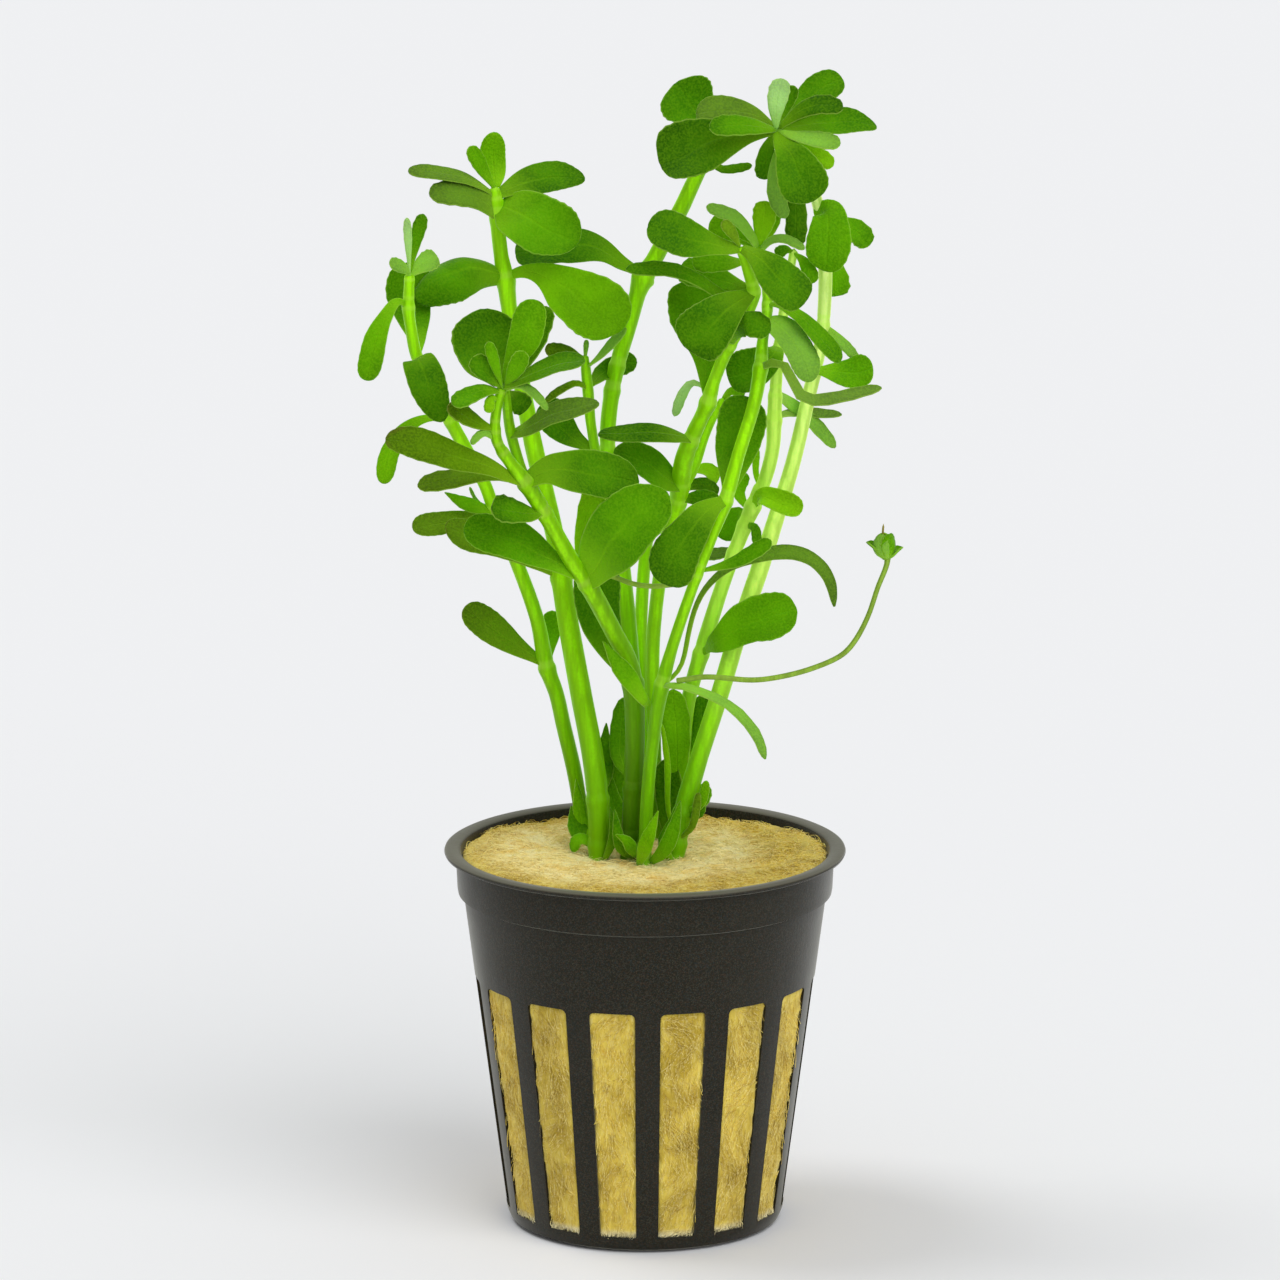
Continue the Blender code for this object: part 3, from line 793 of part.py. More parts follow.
def leaf_mesh(midrib, outline, width_seen, roll, stations, tubes=None):
    """A leaf along its midrib, which starts where it is clear of the tubes if there are any."""
    path = midrib_path(midrib)
    width = width_seen / math.cos(math.radians(roll))
    facing = leaf_facing(path, roll)
    start = clear_start(path, outline, width, facing, tubes) if tubes else 0.0
    return lofted_leaf(path, outline, width, facing, stations, start)


def room_beside(point, tube):
    """How far a point is from the surface of the nearest length of a tube."""
    found = []
    for (start, low), (end, high) in zip(tube, tube[1:]):
        share = min(max(intersect_point_line(point, start, end)[1], 0.0), 1.0)
        nearest = start + (end - start) * share
        found.append((point - nearest).length - (low + (high - low) * share) / 2)
    return min(found)


def clear_start(path, outline, width, facing, tubes):
    """How far along its midrib, as a share, a leaf is clear of its stem and what grows on it."""
    for step in range(60):
        corners = leaf_section(path, step / 100, outline, width, facing)
        if min(room_beside(corner, tube) for corner in corners for tube in tubes) > GAP:
            return step / 100
    raise ValueError(f"the leaf that starts at {path.points[0]} never leaves its stem")


def tubes_of(stem):
    """The stem with its shoots and the middles of its small leaves, each as points with widths."""
    branches = (STEMS[stem], *SIDE_SHOOTS.get(stem, ()))
    tubes = [path_through(rows).spaced(STEM_POINT_SPACING) for rows in branches]
    for owner, *_, midrib in SMALL_LEAVES:
        if owner == stem:
            tubes.append([(point, LEAF_THICKNESS) for point in midrib_path(midrib).points])
    return tubes


def make_leaves(parts):
    for name, stem, outline, width, roll, midrib in LEAVES:
        look = ("brown_leaf", BROWN_LEAF_LOOK) if name.endswith("brown") else ("leaf_green", LEAF_LOOK)
        mesh = leaf_mesh(midrib, outline, width, roll, LEAF_STATIONS, tubes_of(stem))
        add_object(name, mesh, parts, *look)


def main():
    clear_scene()
    parts = new_collection(OBJECT_NAME)
    helpers = new_collection("helpers")
    make_pot(parts, helpers)
    make_rockwool(parts, helpers)
    make_stems(parts, helpers)
    make_flower_stalks(parts, helpers)
    make_leaves(parts)


main()
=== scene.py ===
"""A potted moneywort: a tuft of soft stems and spoon-shaped leaves in rockwool, in a slotted black net pot.

The tables are in millimetres. Each row of a stem or a leaf gives where the point shows, across and above
the centre of the pot's rim, to an eye a metre in front of it, and how far behind the pot's axis it lies.
"""

import math
import random

import bmesh
import bpy
from bpy.props import FloatProperty, FloatVectorProperty, IntProperty, PointerProperty
from mathutils import Matrix, Vector, noise
from mathutils.kdtree import KDTree


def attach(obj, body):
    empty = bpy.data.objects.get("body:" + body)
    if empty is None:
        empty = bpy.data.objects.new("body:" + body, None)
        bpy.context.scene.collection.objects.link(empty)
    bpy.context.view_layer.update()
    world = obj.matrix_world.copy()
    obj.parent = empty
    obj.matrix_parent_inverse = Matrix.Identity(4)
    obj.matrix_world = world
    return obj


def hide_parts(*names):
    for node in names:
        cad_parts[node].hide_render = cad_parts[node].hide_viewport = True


bl_info = {
    "name": "Potted moneywort",
    "version": (1, 0, 0),
    "blender": (4, 5, 0),
    "location": "View3D > Sidebar > Moneywort",
    "description": "Models a moneywort plant in a rockwool plug and a slotted net pot",
    "category": "Add Mesh",
}

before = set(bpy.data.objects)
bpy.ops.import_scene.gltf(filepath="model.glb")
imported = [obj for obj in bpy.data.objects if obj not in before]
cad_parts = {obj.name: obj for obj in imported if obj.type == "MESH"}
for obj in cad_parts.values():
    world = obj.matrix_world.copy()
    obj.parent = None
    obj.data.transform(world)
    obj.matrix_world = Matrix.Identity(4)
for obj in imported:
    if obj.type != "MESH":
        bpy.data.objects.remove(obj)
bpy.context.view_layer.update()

MM = 0.001

# The eye that the tables' across and up refer to, and the lens of the camera there
RIM_CENTRE = Vector((0.0, 0.0, 49.5))
EYE_DISTANCE = 1000.0
EYE_LEFT = 0.65
EYE_ABOVE = 27.1
EYE_PITCH = math.radians(12.45)
EYE_LENS = 216.3
EYE_SENSOR = 36.0
EYE_CLIP = 0.05
TOWARD_EYE = Vector((0.0, -math.cos(EYE_PITCH), math.sin(EYE_PITCH)))
EYE_UPWARD = Vector((0.0, math.sin(EYE_PITCH), math.cos(EYE_PITCH)))
EYE = RIM_CENTRE + TOWARD_EYE * EYE_DISTANCE + EYE_UPWARD * EYE_ABOVE - Vector((EYE_LEFT, 0.0, 0.0))

# The view's own axes: across, upward and toward the eye
VIEW = Matrix((Vector((1.0, 0.0, 0.0)), EYE_UPWARD, TOWARD_EYE)).transposed().to_4x4()

# How many times the tables' depths a stem's reach from the pot's axis, and a leaf's from its stem
STEM_DEPTH = 2.1
LEAF_DEPTH = 1.3

# Pot
RIM_RADIUS = 26.1
RIM_HEIGHT = 49.8
LIP_THICKNESS = 0.8
COLLAR_RADIUS = 24.6
COLLAR_DEPTH = 5.8
BODY_TOP_RADIUS = 23.65
BODY_BASE_RADIUS = 18.1
BASE_EDGE_RADIUS = 1.6
WALL = 0.75
FLOOR = 1.2
SLOTS = 15
SLOT_BOTTOM = 2.2
SLOT_TOP = 33.1
SLOT_WIDTH_BOTTOM = 4.75
SLOT_WIDTH_TOP = 6.0
SLOT_CORNER = 0.7
SLOT_TURN = math.radians(0.9)
FLOOR_SLOTS = 8
FLOOR_SLOT_INNER = 6.5
FLOOR_SLOT_OUTER = 13.0
FLOOR_SLOT_WIDTH = 2.4
CUT_INWARD = 4.0
CUT_OUTWARD = 3.0
SMOOTH_ANGLE = math.radians(32)
SAME_PLACE = 1e-7

# Stems: (across, up, back, width), from the foot to the tip
STEMS = {
    "stem_far_left": (
        (-7.4, -9.5, 5.0, 1.9), (-7.6, -1.0, 5.0, 1.9), (-8.2, 4, 4.8, 1.9), (-9.2, 10, 4.5, 2.0),
        (-10.6, 16, 4.2, 2.0), (-11.5, 20, 4.0, 2.0), (-12.8, 23.7, 3.8, 2.2), (-14.1, 30, 3.4, 1.9),
        (-17.0, 38, 2.8, 1.8), (-19.6, 44, 2.3, 1.7), (-20.9, 47.5, 2.0, 1.7), (-23.9, 53, 1.4, 1.8),
        (-26.6, 58, 0.8, 1.6), (-29.6, 63.8, 0.2, 1.6), (-30.5, 68, 0.0, 1.5), (-30.75, 70.3, 0.0, 1.6),
        (-30.6, 74.8, -0.3, 1.2),
    ),
    "stem_left": (
        (-6.0, -10.5, -1.2, 2.7), (-6.0, -1.0, -1.2, 2.7), (-6.1, 5.8, -1.2, 2.9), (-6.8, 12, -0.8, 2.8),
        (-8.3, 20, -0.3, 2.8), (-10.1, 30, 0.6, 2.7), (-10.9, 35.3, 1.2, 2.7), (-11.6, 40, 1.8, 2.4),
        (-12.7, 45, 2.6, 2.4), (-14.4, 52, 3.4, 2.4), (-15.6, 58, 3.9, 2.2), (-16.6, 64, 4.3, 2.2),
        (-17.7, 70.5, 4.6, 2.1), (-18.1, 73.8, 4.7, 2.4), (-18.7, 77, 4.8, 1.9), (-19.2, 81.5, 4.8, 1.9),
        (-19.4, 84.3, 4.8, 1.8), (-19.6, 86.2, 4.8, 1.2),
    ),
    "stem_short": (
        (-3.2, -10.0, 1.9, 1.3), (-3.4, 0, 2.0, 1.3), (-3.6, 6, 2.2, 1.3), (-3.4, 10, 2.4, 1.3),
        (-3.9, 13.4, 2.4, 1.1),
    ),
    "stem_forked": (
        (-1.9, -10.5, -1.6, 2.7), (-1.8, 0, -1.6, 2.7), (-1.5, 8, -2.0, 2.7), (-1.3, 16, -2.6, 2.6),
        (-1.5, 20.8, -3.0, 2.8), (-2.2, 24.5, -3.4, 2.3), (-4.0, 28, -4.2, 2.3), (-7.0, 33.6, -5.4, 2.4),
        (-9.9, 38, -6.5, 2.1), (-13.3, 44, -8.0, 2.0), (-15.5, 47.5, -8.8, 2.2), (-17.4, 50, -9.4, 1.6),
        (-19.0, 52.4, -9.8, 1.4), (-19.5, 54.2, -10.0, 1.4), (-19.3, 57, -10.3, 1.3),
        (-18.5, 60.2, -10.6, 1.2),
    ),
    "stem_long": (
        (-1.1, -9.5, 3.2, 2.4), (-1.2, 0, 3.4, 2.4), (-1.4, 14, 4.0, 2.4), (-2.0, 26, 4.8, 2.4),
        (-3.2, 38, 5.5, 2.3), (-4.6, 48, 6.2, 2.1), (-4.85, 54, 6.6, 2.1), (-4.2, 60, 6.8, 2.1),
        (-3.3, 64, 7.0, 2.1), (-2.1, 68, 7.2, 2.1), (-1.0, 72, 7.3, 2.2), (-0.3, 74, 7.4, 2.9),
        (1.1, 76.4, 7.5, 2.2), (4.8, 83.4, 7.8, 2.1), (6.1, 86.2, 7.9, 2.0), (8.6, 91.3, 8.0, 1.7),
    ),
    "stem_hidden": (
        (0.6, -8.8, 6.4, 1.7), (0.5, 0.5, 6.4, 1.7), (-0.1, 14, 6.8, 1.7), (-0.6, 24, 7.2, 1.7),
        (-0.3, 34, 7.8, 1.7), (0.4, 41, 8.2, 1.6), (1.4, 46.5, 8.4, 1.3),
    ),
    "stem_branching": (
        (1.7, -9.5, 3.3, 1.8), (1.6, 0, 3.4, 1.8), (1.2, 14, 3.6, 1.8), (1.0, 25, 3.4, 1.8),
        (1.5, 32, 2.7, 1.8), (2.6, 39, 1.4, 1.9), (4.3, 45.4, -0.4, 2.4), (5.0, 50.2, -1.8, 2.5),
        (5.8, 52.7, -2.5, 2.2), (7.4, 56.2, -3.3, 1.9), (8.1, 57.7, -3.7, 2.2), (9.0, 60.8, -4.3, 1.6),
        (10.3, 64, -4.8, 1.6), (11.7, 66.6, -5.3, 1.6), (13.1, 69.3, -5.8, 1.6), (14.1, 72.3, -6.3, 1.8),
        (13.3, 75.3, -6.8, 1.3), (12.3, 78.3, -7.2, 1.0),
    ),
    "stem_front": (
        (0.1, -11.0, -2.9, 1.7), (0.0, -1.0, -2.9, 1.7), (0.4, 8, -3.4, 1.7), (1.3, 16, -4.2, 1.7),
        (2.0, 20.3, -4.6, 2.0), (3.5, 26, -5.2, 1.5), (6.2, 34, -6.0, 1.4), (8.9, 41, -6.5, 1.4),
        (10.4, 45.0, -6.6, 1.9), (12.1, 51, -6.4, 1.7), (14.1, 57.5, -5.5, 1.7), (15.0, 62.3, -4.6, 1.9),
        (15.3, 66, -3.7, 1.4), (15.9, 70, -2.5, 1.4), (15.7, 74, -1.4, 1.2), (14.8, 78.5, -0.4, 1.0),
    ),
    "stem_middle_right": (
        (4.3, -9.3, 3.6, 1.9), (4.4, 0, 3.7, 1.9), (4.9, 12, 3.8, 1.9), (5.6, 19, 3.6, 1.9),
        (7.2, 25.0, 3.4, 2.1), (10.0, 34, 3.0, 1.9), (12.2, 40, 2.7, 1.9), (14.0, 44.4, 2.5, 2.1),
        (15.6, 48, 2.3, 1.8), (16.6, 52, 2.1, 1.8), (16.8, 56, 2.0, 2.0), (17.0, 60, 2.0, 1.6),
        (17.5, 66, 2.0, 1.4), (18.7, 74, 2.0, 1.2), (19.4, 78, 2.0, 1.0),
    ),
    "stem_right": (
        (3.8, -10.4, -1.0, 2.6), (3.9, -1.0, -1.0, 2.6), (5.2, 5.5, -0.7, 2.7), (7.1, 12, -0.1, 2.4),
        (9.7, 20, 0.6, 2.4), (12.1, 28, 1.6, 2.4), (15.0, 36.6, 2.9, 2.4), (16.9, 42.5, 3.7, 2.2),
        (19.2, 50, 4.6, 2.0), (21.1, 58, 5.3, 1.9), (22.9, 66, 5.6, 1.7), (23.4, 72, 5.6, 1.8),
        (23.4, 76.5, 5.2, 1.9), (22.9, 81.5, 3.8, 1.6), (22.2, 84.8, 2.6, 1.5), (21.0, 88, 1.0, 1.3),
        (19.3, 91, -0.6, 1.3), (17.2, 93.4, -2.0, 1.2),
    ),
}

# Side shoots grown as one with a stem: (across, up, back, width), starting on its axis
SIDE_SHOOTS = {
    "stem_forked": (
        (
            (-15.2, 47.0, -8.7, 1.4), (-16.3, 50, -8.3, 1.3), (-17.5, 54.3, -8.5, 1.4),
            (-18.2, 59.8, -10.3, 1.1),
        ),
    ),
    "stem_long": (
        (
            (-4.5, 47.0, 6.1, 1.4), (-6.0, 50, 5.2, 1.3), (-7.0, 55, 4.7, 1.3), (-7.4, 59.4, 4.5, 1.5),
            (-7.7, 62.4, 4.4, 1.3), (-7.8, 64.3, 4.3, 0.8),
        ),
    ),
    "stem_branching": (
        ((4.5, 46.4, -0.6, 1.5), (6.3, 49.3, 0.4, 1.3), (8.0, 54.2, 1.4, 1.2), (10.2, 58.6, 2.0, 0.9)),
    ),
}

# Flower stalks: (across, up, back, width)
FLOWER_STALKS = {
    "flower_stalk": (
        (4.2, 21.8, -6.0, 0.75), (8, 22.3, -6.6, 0.7), (14, 21.9, -7.4, 0.7), (18, 22.4, -7.6, 0.7),
        (22, 23.5, -7.8, 0.7), (25.5, 25.1, -7.9, 0.7), (27.3, 27.0, -8.0, 0.7), (29.0, 30.2, -8.0, 0.65),
        (30.3, 34, -8.0, 0.65), (31.4, 36.8, -8.0, 0.7), (31.6, 38.6, -8.0, 0.9),
    ),
    "bud_stalk": (
        (-5.9, 36.0, -6.2, 0.7), (-4, 35.3, -5.8, 0.65), (-1.5, 34.4, -5.8, 0.65), (1, 34.1, -6.0, 0.65),
        (4.0, 34.3, -6.0, 0.6),
    ),
}
CALYX_CENTRE = (31.4, 39.2, -8.0)
CALYX_RADIUS = 1.15
CALYX_LEAN = math.radians(8)
CALYX_DROP = 1.5
SEPAL_WIDTH = 1.1
SEPAL_CUP = 0.35
SEPAL_THICKNESS = 0.25
SEPAL_SPACING = 0.3
SEPAL_TURN = 0.3
SEPAL_BELLY = 1.05
SEPAL_RISES = (0.23, 0.63, 1.0)
# Sepals: (how far out at each of the three rises as a share of the belly, height of the tip, tone)
SEPALS = (
    ((0.6, 1.1, 1.85), 1.1, "fresh"),
    ((0.7, 0.8, 0.4), 3.1, "fresh"),
    ((0.5, 1.0, 1.75), 2.4, "mid"),
    ((0.75, 0.9, 0.35), 3.2, "pale"),
    ((0.7, 0.75, 0.95), 3.3, "fresh"),
)
# The style in the calyx, from the calyx's centre: (across, up, width)
STYLE = ((0.0, 0.0, 0.3), (-0.45, 1.5, 0.28), (-0.4, 3.0, 0.26))

# Leaves that are pieces of their own, by stem: (name, outline, tone, width seen, roll, midrib as rows of
# (across, up, back)). The midrib starts on the stem's axis. Roll is how many degrees the blade turns from
# facing the eye to facing up.
LEAVES = {
    "stem_far_left": (
        ("leaf_far_left_low", "blade", "moss", 4.0, 25,
         ((-12.6, 23.6, 3.8), (-17.2, 26.6, 3), (-23.6, 31.3, 1))),
        ("leaf_far_left_brown", "blade", "moss", 3.3, 30,
         ((-19.4, 43.5, 2.3), (-25, 42.4, 1.2), (-30.3, 41.4, -0.6))),
        ("leaf_far_left_hanging_low", "blade", "bright", 2.6, 15,
         ((-25.4, 55.8, 1), (-28.6, 55.9, 0), (-31.3, 54.3, -1), (-33.2, 51.6, -2), (-34.0, 47.3, -3))),
        ("leaf_far_left_front", "oval", "dark", 4.9, 10,
         ((-29.2, 62.9, 0.3), (-29.5, 63.6, -2.4), (-29.0, 62.4, -4), (-28.0, 59.5, -5),
          (-26.5, 55.7, -5.4))),
        ("leaf_far_left_hanging", "blade", "fresh", 3.1, 12,
         ((-30.75, 70.4, 0), (-32.1, 71.2, -1), (-33.4, 69.7, -1.8), (-34.9, 66.1, -2.6),
          (-36.1, 60.8, -3))),
        ("leaf_far_left_behind", "blade", "mid", 5.8, 15,
         ((-29.7, 63.9, 0.2), (-29.9, 67.5, 3.8), (-30.6, 72, 5.6), (-30.9, 76.4, 5.6))),
    ),
    "stem_left": (
        ("leaf_left_low", "blade", "moss", 3.6, 40,
         ((-10.9, 35.3, 1.2), (-18, 38.8, 0.4), (-26.0, 41.8, -1))),
        ("leaf_left_right_big", "fan", "bright", 8.4, 15,
         ((-18.1, 74.0, 4.7), (-15.4, 74.9, 3.8), (-11.8, 73.6, 2.4), (-7.7, 71.1, 1.4), (-3.5, 67.2, 1))),
        ("leaf_left_left_big", "oval", "rich", 5.2, 25,
         ((-18.1, 74.2, 4.7), (-21, 75.5, 3.4), (-24, 75.4, 2.4), (-27, 74.0, 1.6), (-30, 71.6, 1.0))),
        ("leaf_left_top_thin", "blade", "dull", 2.0, 55,
         ((-19.5, 84.7, 4.8), (-21.3, 86.0, 4), (-23.5, 87.1, 3.4), (-26.8, 87.7, 2.8), (-30.7, 87.9, 2))),
        ("leaf_left_top_upright", "round", "bright", 3.4, 0,
         ((-19.5, 85.9, 4.8), (-19.7, 89.5, 5.6), (-19.4, 93.3, 5.4))),
        ("leaf_left_top_right", "oval", "dark", 4.0, 35,
         ((-19.4, 84.8, 4.8), (-16.5, 86.1, 5.8), (-12.5, 87.2, 6.2), (-7.7, 87.2, 6.2))),
        ("leaf_left_top_round", "round", "mid", 8.0, 15,
         ((-19.3, 83.4, 4.8), (-16.5, 82.4, 3.0), (-13.0, 80.7, 1.6), (-9.0, 78.8, 1))),
    ),
    "stem_forked": (
        ("leaf_forked_behind", "blade", "rich", 6.2, 5,
         ((-1.7, 21.6, -3), (-4.3, 25.5, -2.4), (-6.2, 31, -2.2), (-6.4, 37.6, -2))),
        ("leaf_forked_low_left", "blade", "mid", 5.3, 30,
         ((-7.6, 34.6, -5.7), (-12.5, 37.4, -7), (-17.2, 39.9, -7.8), (-23.5, 41.4, -8.4))),
        ("leaf_forked_low_right", "oval", "mid", 8.4, 10,
         ((-7.4, 34.9, -5.6), (-5.9, 37.6, -7.8), (-3.2, 41, -9.2), (-0.3, 43.8, -9.6),
          (3.1, 46.2, -9.6))),
        ("leaf_forked_middle_right", "oval", "dark", 6.3, 15,
         ((-15.3, 47.8, -8.9), (-12.6, 48.9, -8.4), (-7, 48.7, -6.2), (-0.6, 47.4, -4.8))),
        ("leaf_forked_long_brown", "blade", "olive", 4.2, 30,
         ((-15.6, 47.5, -8.9), (-19.5, 49.1, -10.6), (-24, 50.7, -11.6), (-29, 52.2, -12.2),
          (-33.7, 53.2, -12.4))),
        ("leaf_forked_top_round", "round", "dark", 8.7, 10,
         ((-18.6, 59.9, -10.6), (-19.7, 63, -9), (-20.6, 66.4, -8), (-20.9, 69.9, -7.6))),
        ("leaf_forked_top_light", "blade", "fresh", 4.4, 10,
         ((-18.4, 60.0, -10.5), (-16.6, 64, -11.4), (-15.2, 67.5, -11.8), (-14.1, 71.4, -11.4))),
        ("leaf_forked_top_right", "blade", "dark", 2.7, 50,
         ((-18.5, 59.9, -10.6), (-15, 61.4, -12.4), (-11.5, 62.9, -13.2), (-7.6, 63.5, -13.6))),
        ("leaf_forked_side_right", "oval", "dull", 2.8, 45,
         ((-17.4, 53.7, -8.5), (-14.5, 55.0, -10), (-10.5, 56.8, -11.4), (-6.0, 57.7, -12.2))),
    ),
    "stem_long": (
        ("leaf_long_left", "blade", "dark", 5.3, 35,
         ((-0.6, 74.6, 7.4), (-5, 77.3, 6.6), (-10.5, 78.2, 6.2), (-17.1, 77.0, 6.4))),
        ("leaf_long_top", "fan", "rich", 7.2, 10,
         ((8.6, 91.3, 8), (7.8, 93.5, 8.8), (6.3, 96.2, 9), (4.2, 99.4, 8.6))),
        ("leaf_long_side", "blade", "dark", 4.4, 10,
         ((-6.5, 51.6, 5), (-9.2, 53.3, 5.8), (-11.4, 55.5, 6.4), (-13.4, 58, 6.8))),
    ),
    "stem_branching": (
        ("leaf_branching_top_left", "blade", "dark", 5.4, 20,
         ((12.5, 77.9, -7.1), (9, 78.4, -8.4), (5, 79.4, -9), (0.1, 80.7, -9.2))),
        ("leaf_branching_top_right", "blade", "dark", 5.5, 15,
         ((12.5, 77.9, -7.1), (14.8, 76.7, -8.8), (17.6, 73.9, -9.8), (20.9, 70.9, -10.2))),
        ("leaf_branching_left", "blade", "dark", 7.2, 20,
         ((14.0, 72.5, -6.3), (11.3, 70.8, -8.2), (8.6, 68.1, -9), (5.5, 64.7, -9.2))),
        ("leaf_branching_dark", "fan", "mid", 6.9, 10,
         ((8.2, 58.0, -3.8), (7.7, 63, -3.2), (6.9, 67.5, -2.4), (5.7, 74.0, -1.5))),
        ("leaf_branching_low_long", "oval", "deep", 2.4, 50,
         ((6.2, 53.0, -2.7), (3, 53.7, -4.6), (0, 54.0, -5.4), (-3, 53.9, -6), (-6.0, 53.6, -6.4))),
        ("leaf_branching_low_left", "round", "rich", 4.2, 30,
         ((4.7, 47.0, -1.2), (2.4, 48.3, -2), (-0.2, 50.1, -2.6), (-3.9, 51.8, -3))),
    ),
    "stem_front": (
        ("leaf_front_arching", "stalked", "dull", 1.9, 35,
         ((2.6, 21.4, -4.8), (4.5, 23, -4.2), (5.6, 28, -3.9), (6.8, 32, -3.7), (9.6, 35.6, -4),
          (12.5, 37.3, -4.4), (16, 38.3, -4.8), (19, 38.5, -5.2), (21.3, 37.9, -5.6), (23.0, 36.5, -6),
          (24.1, 34.5, -6.2), (24.6, 31.4, -6.4))),
        ("leaf_front_low", "blade", "dark", 6.2, 15,
         ((10.4, 45.2, -6.6), (8.3, 44.1, -8.6), (5.2, 40.2, -10.2), (2.7, 34.4, -10.8))),
        ("leaf_front_behind", "blade", "rich", 6.3, 5,
         ((10.4, 45.2, -6.5), (11.2, 49, -4.2), (12.3, 53.6, -3.2), (13.1, 58.9, -3))),
        ("leaf_front_pale", "round", "pale", 3.9, 25,
         ((15.8, 68.7, -2.8), (17.2, 68, -4.6), (19.2, 65.9, -5.8), (20.6, 63.4, -6.4),
          (21.3, 60.5, -6.6))),
        ("leaf_front_strap", "blade", "mid", 2.5, 40,
         ((15.9, 70.7, -2.3), (17.8, 70.5, -4), (20.3, 68.8, -5.2), (22.7, 66.4, -5.8),
          (25.2, 63.2, -6.2))),
    ),
    "stem_middle_right": (
        ("leaf_middle_right_low", "fan", "fresh", 6.2, 20,
         ((7.3, 25.4, 3.3), (9.7, 26.9, -0.9), (13.8, 29.4, -1.8), (19.8, 30.8, -2.2))),
        ("leaf_middle_right_folded", "blade", "lime", 3.0, 20,
         ((14.1, 44.5, 2.4), (15.2, 45.8, 0.2), (16.9, 45.2, -0.8), (20.3, 43.4, -1.4))),
        ("leaf_middle_right_behind", "blade", "rich", 5.4, 10,
         ((17.2, 65.4, 2), (16.6, 64.2, -0.4), (14.2, 62.4, -1), (10.9, 61.2, -1))),
    ),
    "stem_right": (
        ("leaf_right_hanging", "blade", "fresh", 5.6, 5,
         ((23.1, 80.4, 4.1), (23.3, 82.9, 1.8), (24.0, 82.3, 0), (23.9, 78.7, -1.2), (23.3, 74.8, -1.6))),
        ("leaf_right_middle", "blade", "fresh", 4.4, 30,
         ((22.1, 62.3, 5.4), (24.4, 62.0, 4), (27, 61.8, 3.2), (29.8, 62.6, 2.6))),
        ("leaf_top_left_big", "fan", "deep", 8.2, 15,
         ((17.3, 93.3, -2), (12.5, 92.6, -3.6), (7, 91.2, -4.4), (1.8, 89.3, -4.6))),
        ("leaf_top_left_upper", "blade", "dull", 4.4, 30,
         ((17.2, 93.5, -1.9), (13.5, 95.4, -1.2), (10, 95.9, -1), (6.6, 95.4, -0.8))),
        ("leaf_top_right_upper", "blade", "rich", 4.2, 20,
         ((17.3, 93.6, -1.8), (20.4, 96.6, 0.2), (23, 98.7, 1.0), (25.5, 100.0, 1.2))),
        ("leaf_top_right_long", "oval", "rich", 3.3, 40,
         ((17.4, 93.3, -1.9), (21.5, 94.1, -0.8), (26, 94.4, -0.4), (30.2, 93.8, -0.2))),
        ("leaf_top_front", "blade", "dark", 6.3, 10,
         ((17.3, 93.3, -2.1), (18.5, 90.8, -4.6), (20.1, 87.6, -6), (21.7, 84.1, -6.4))),
    ),
}

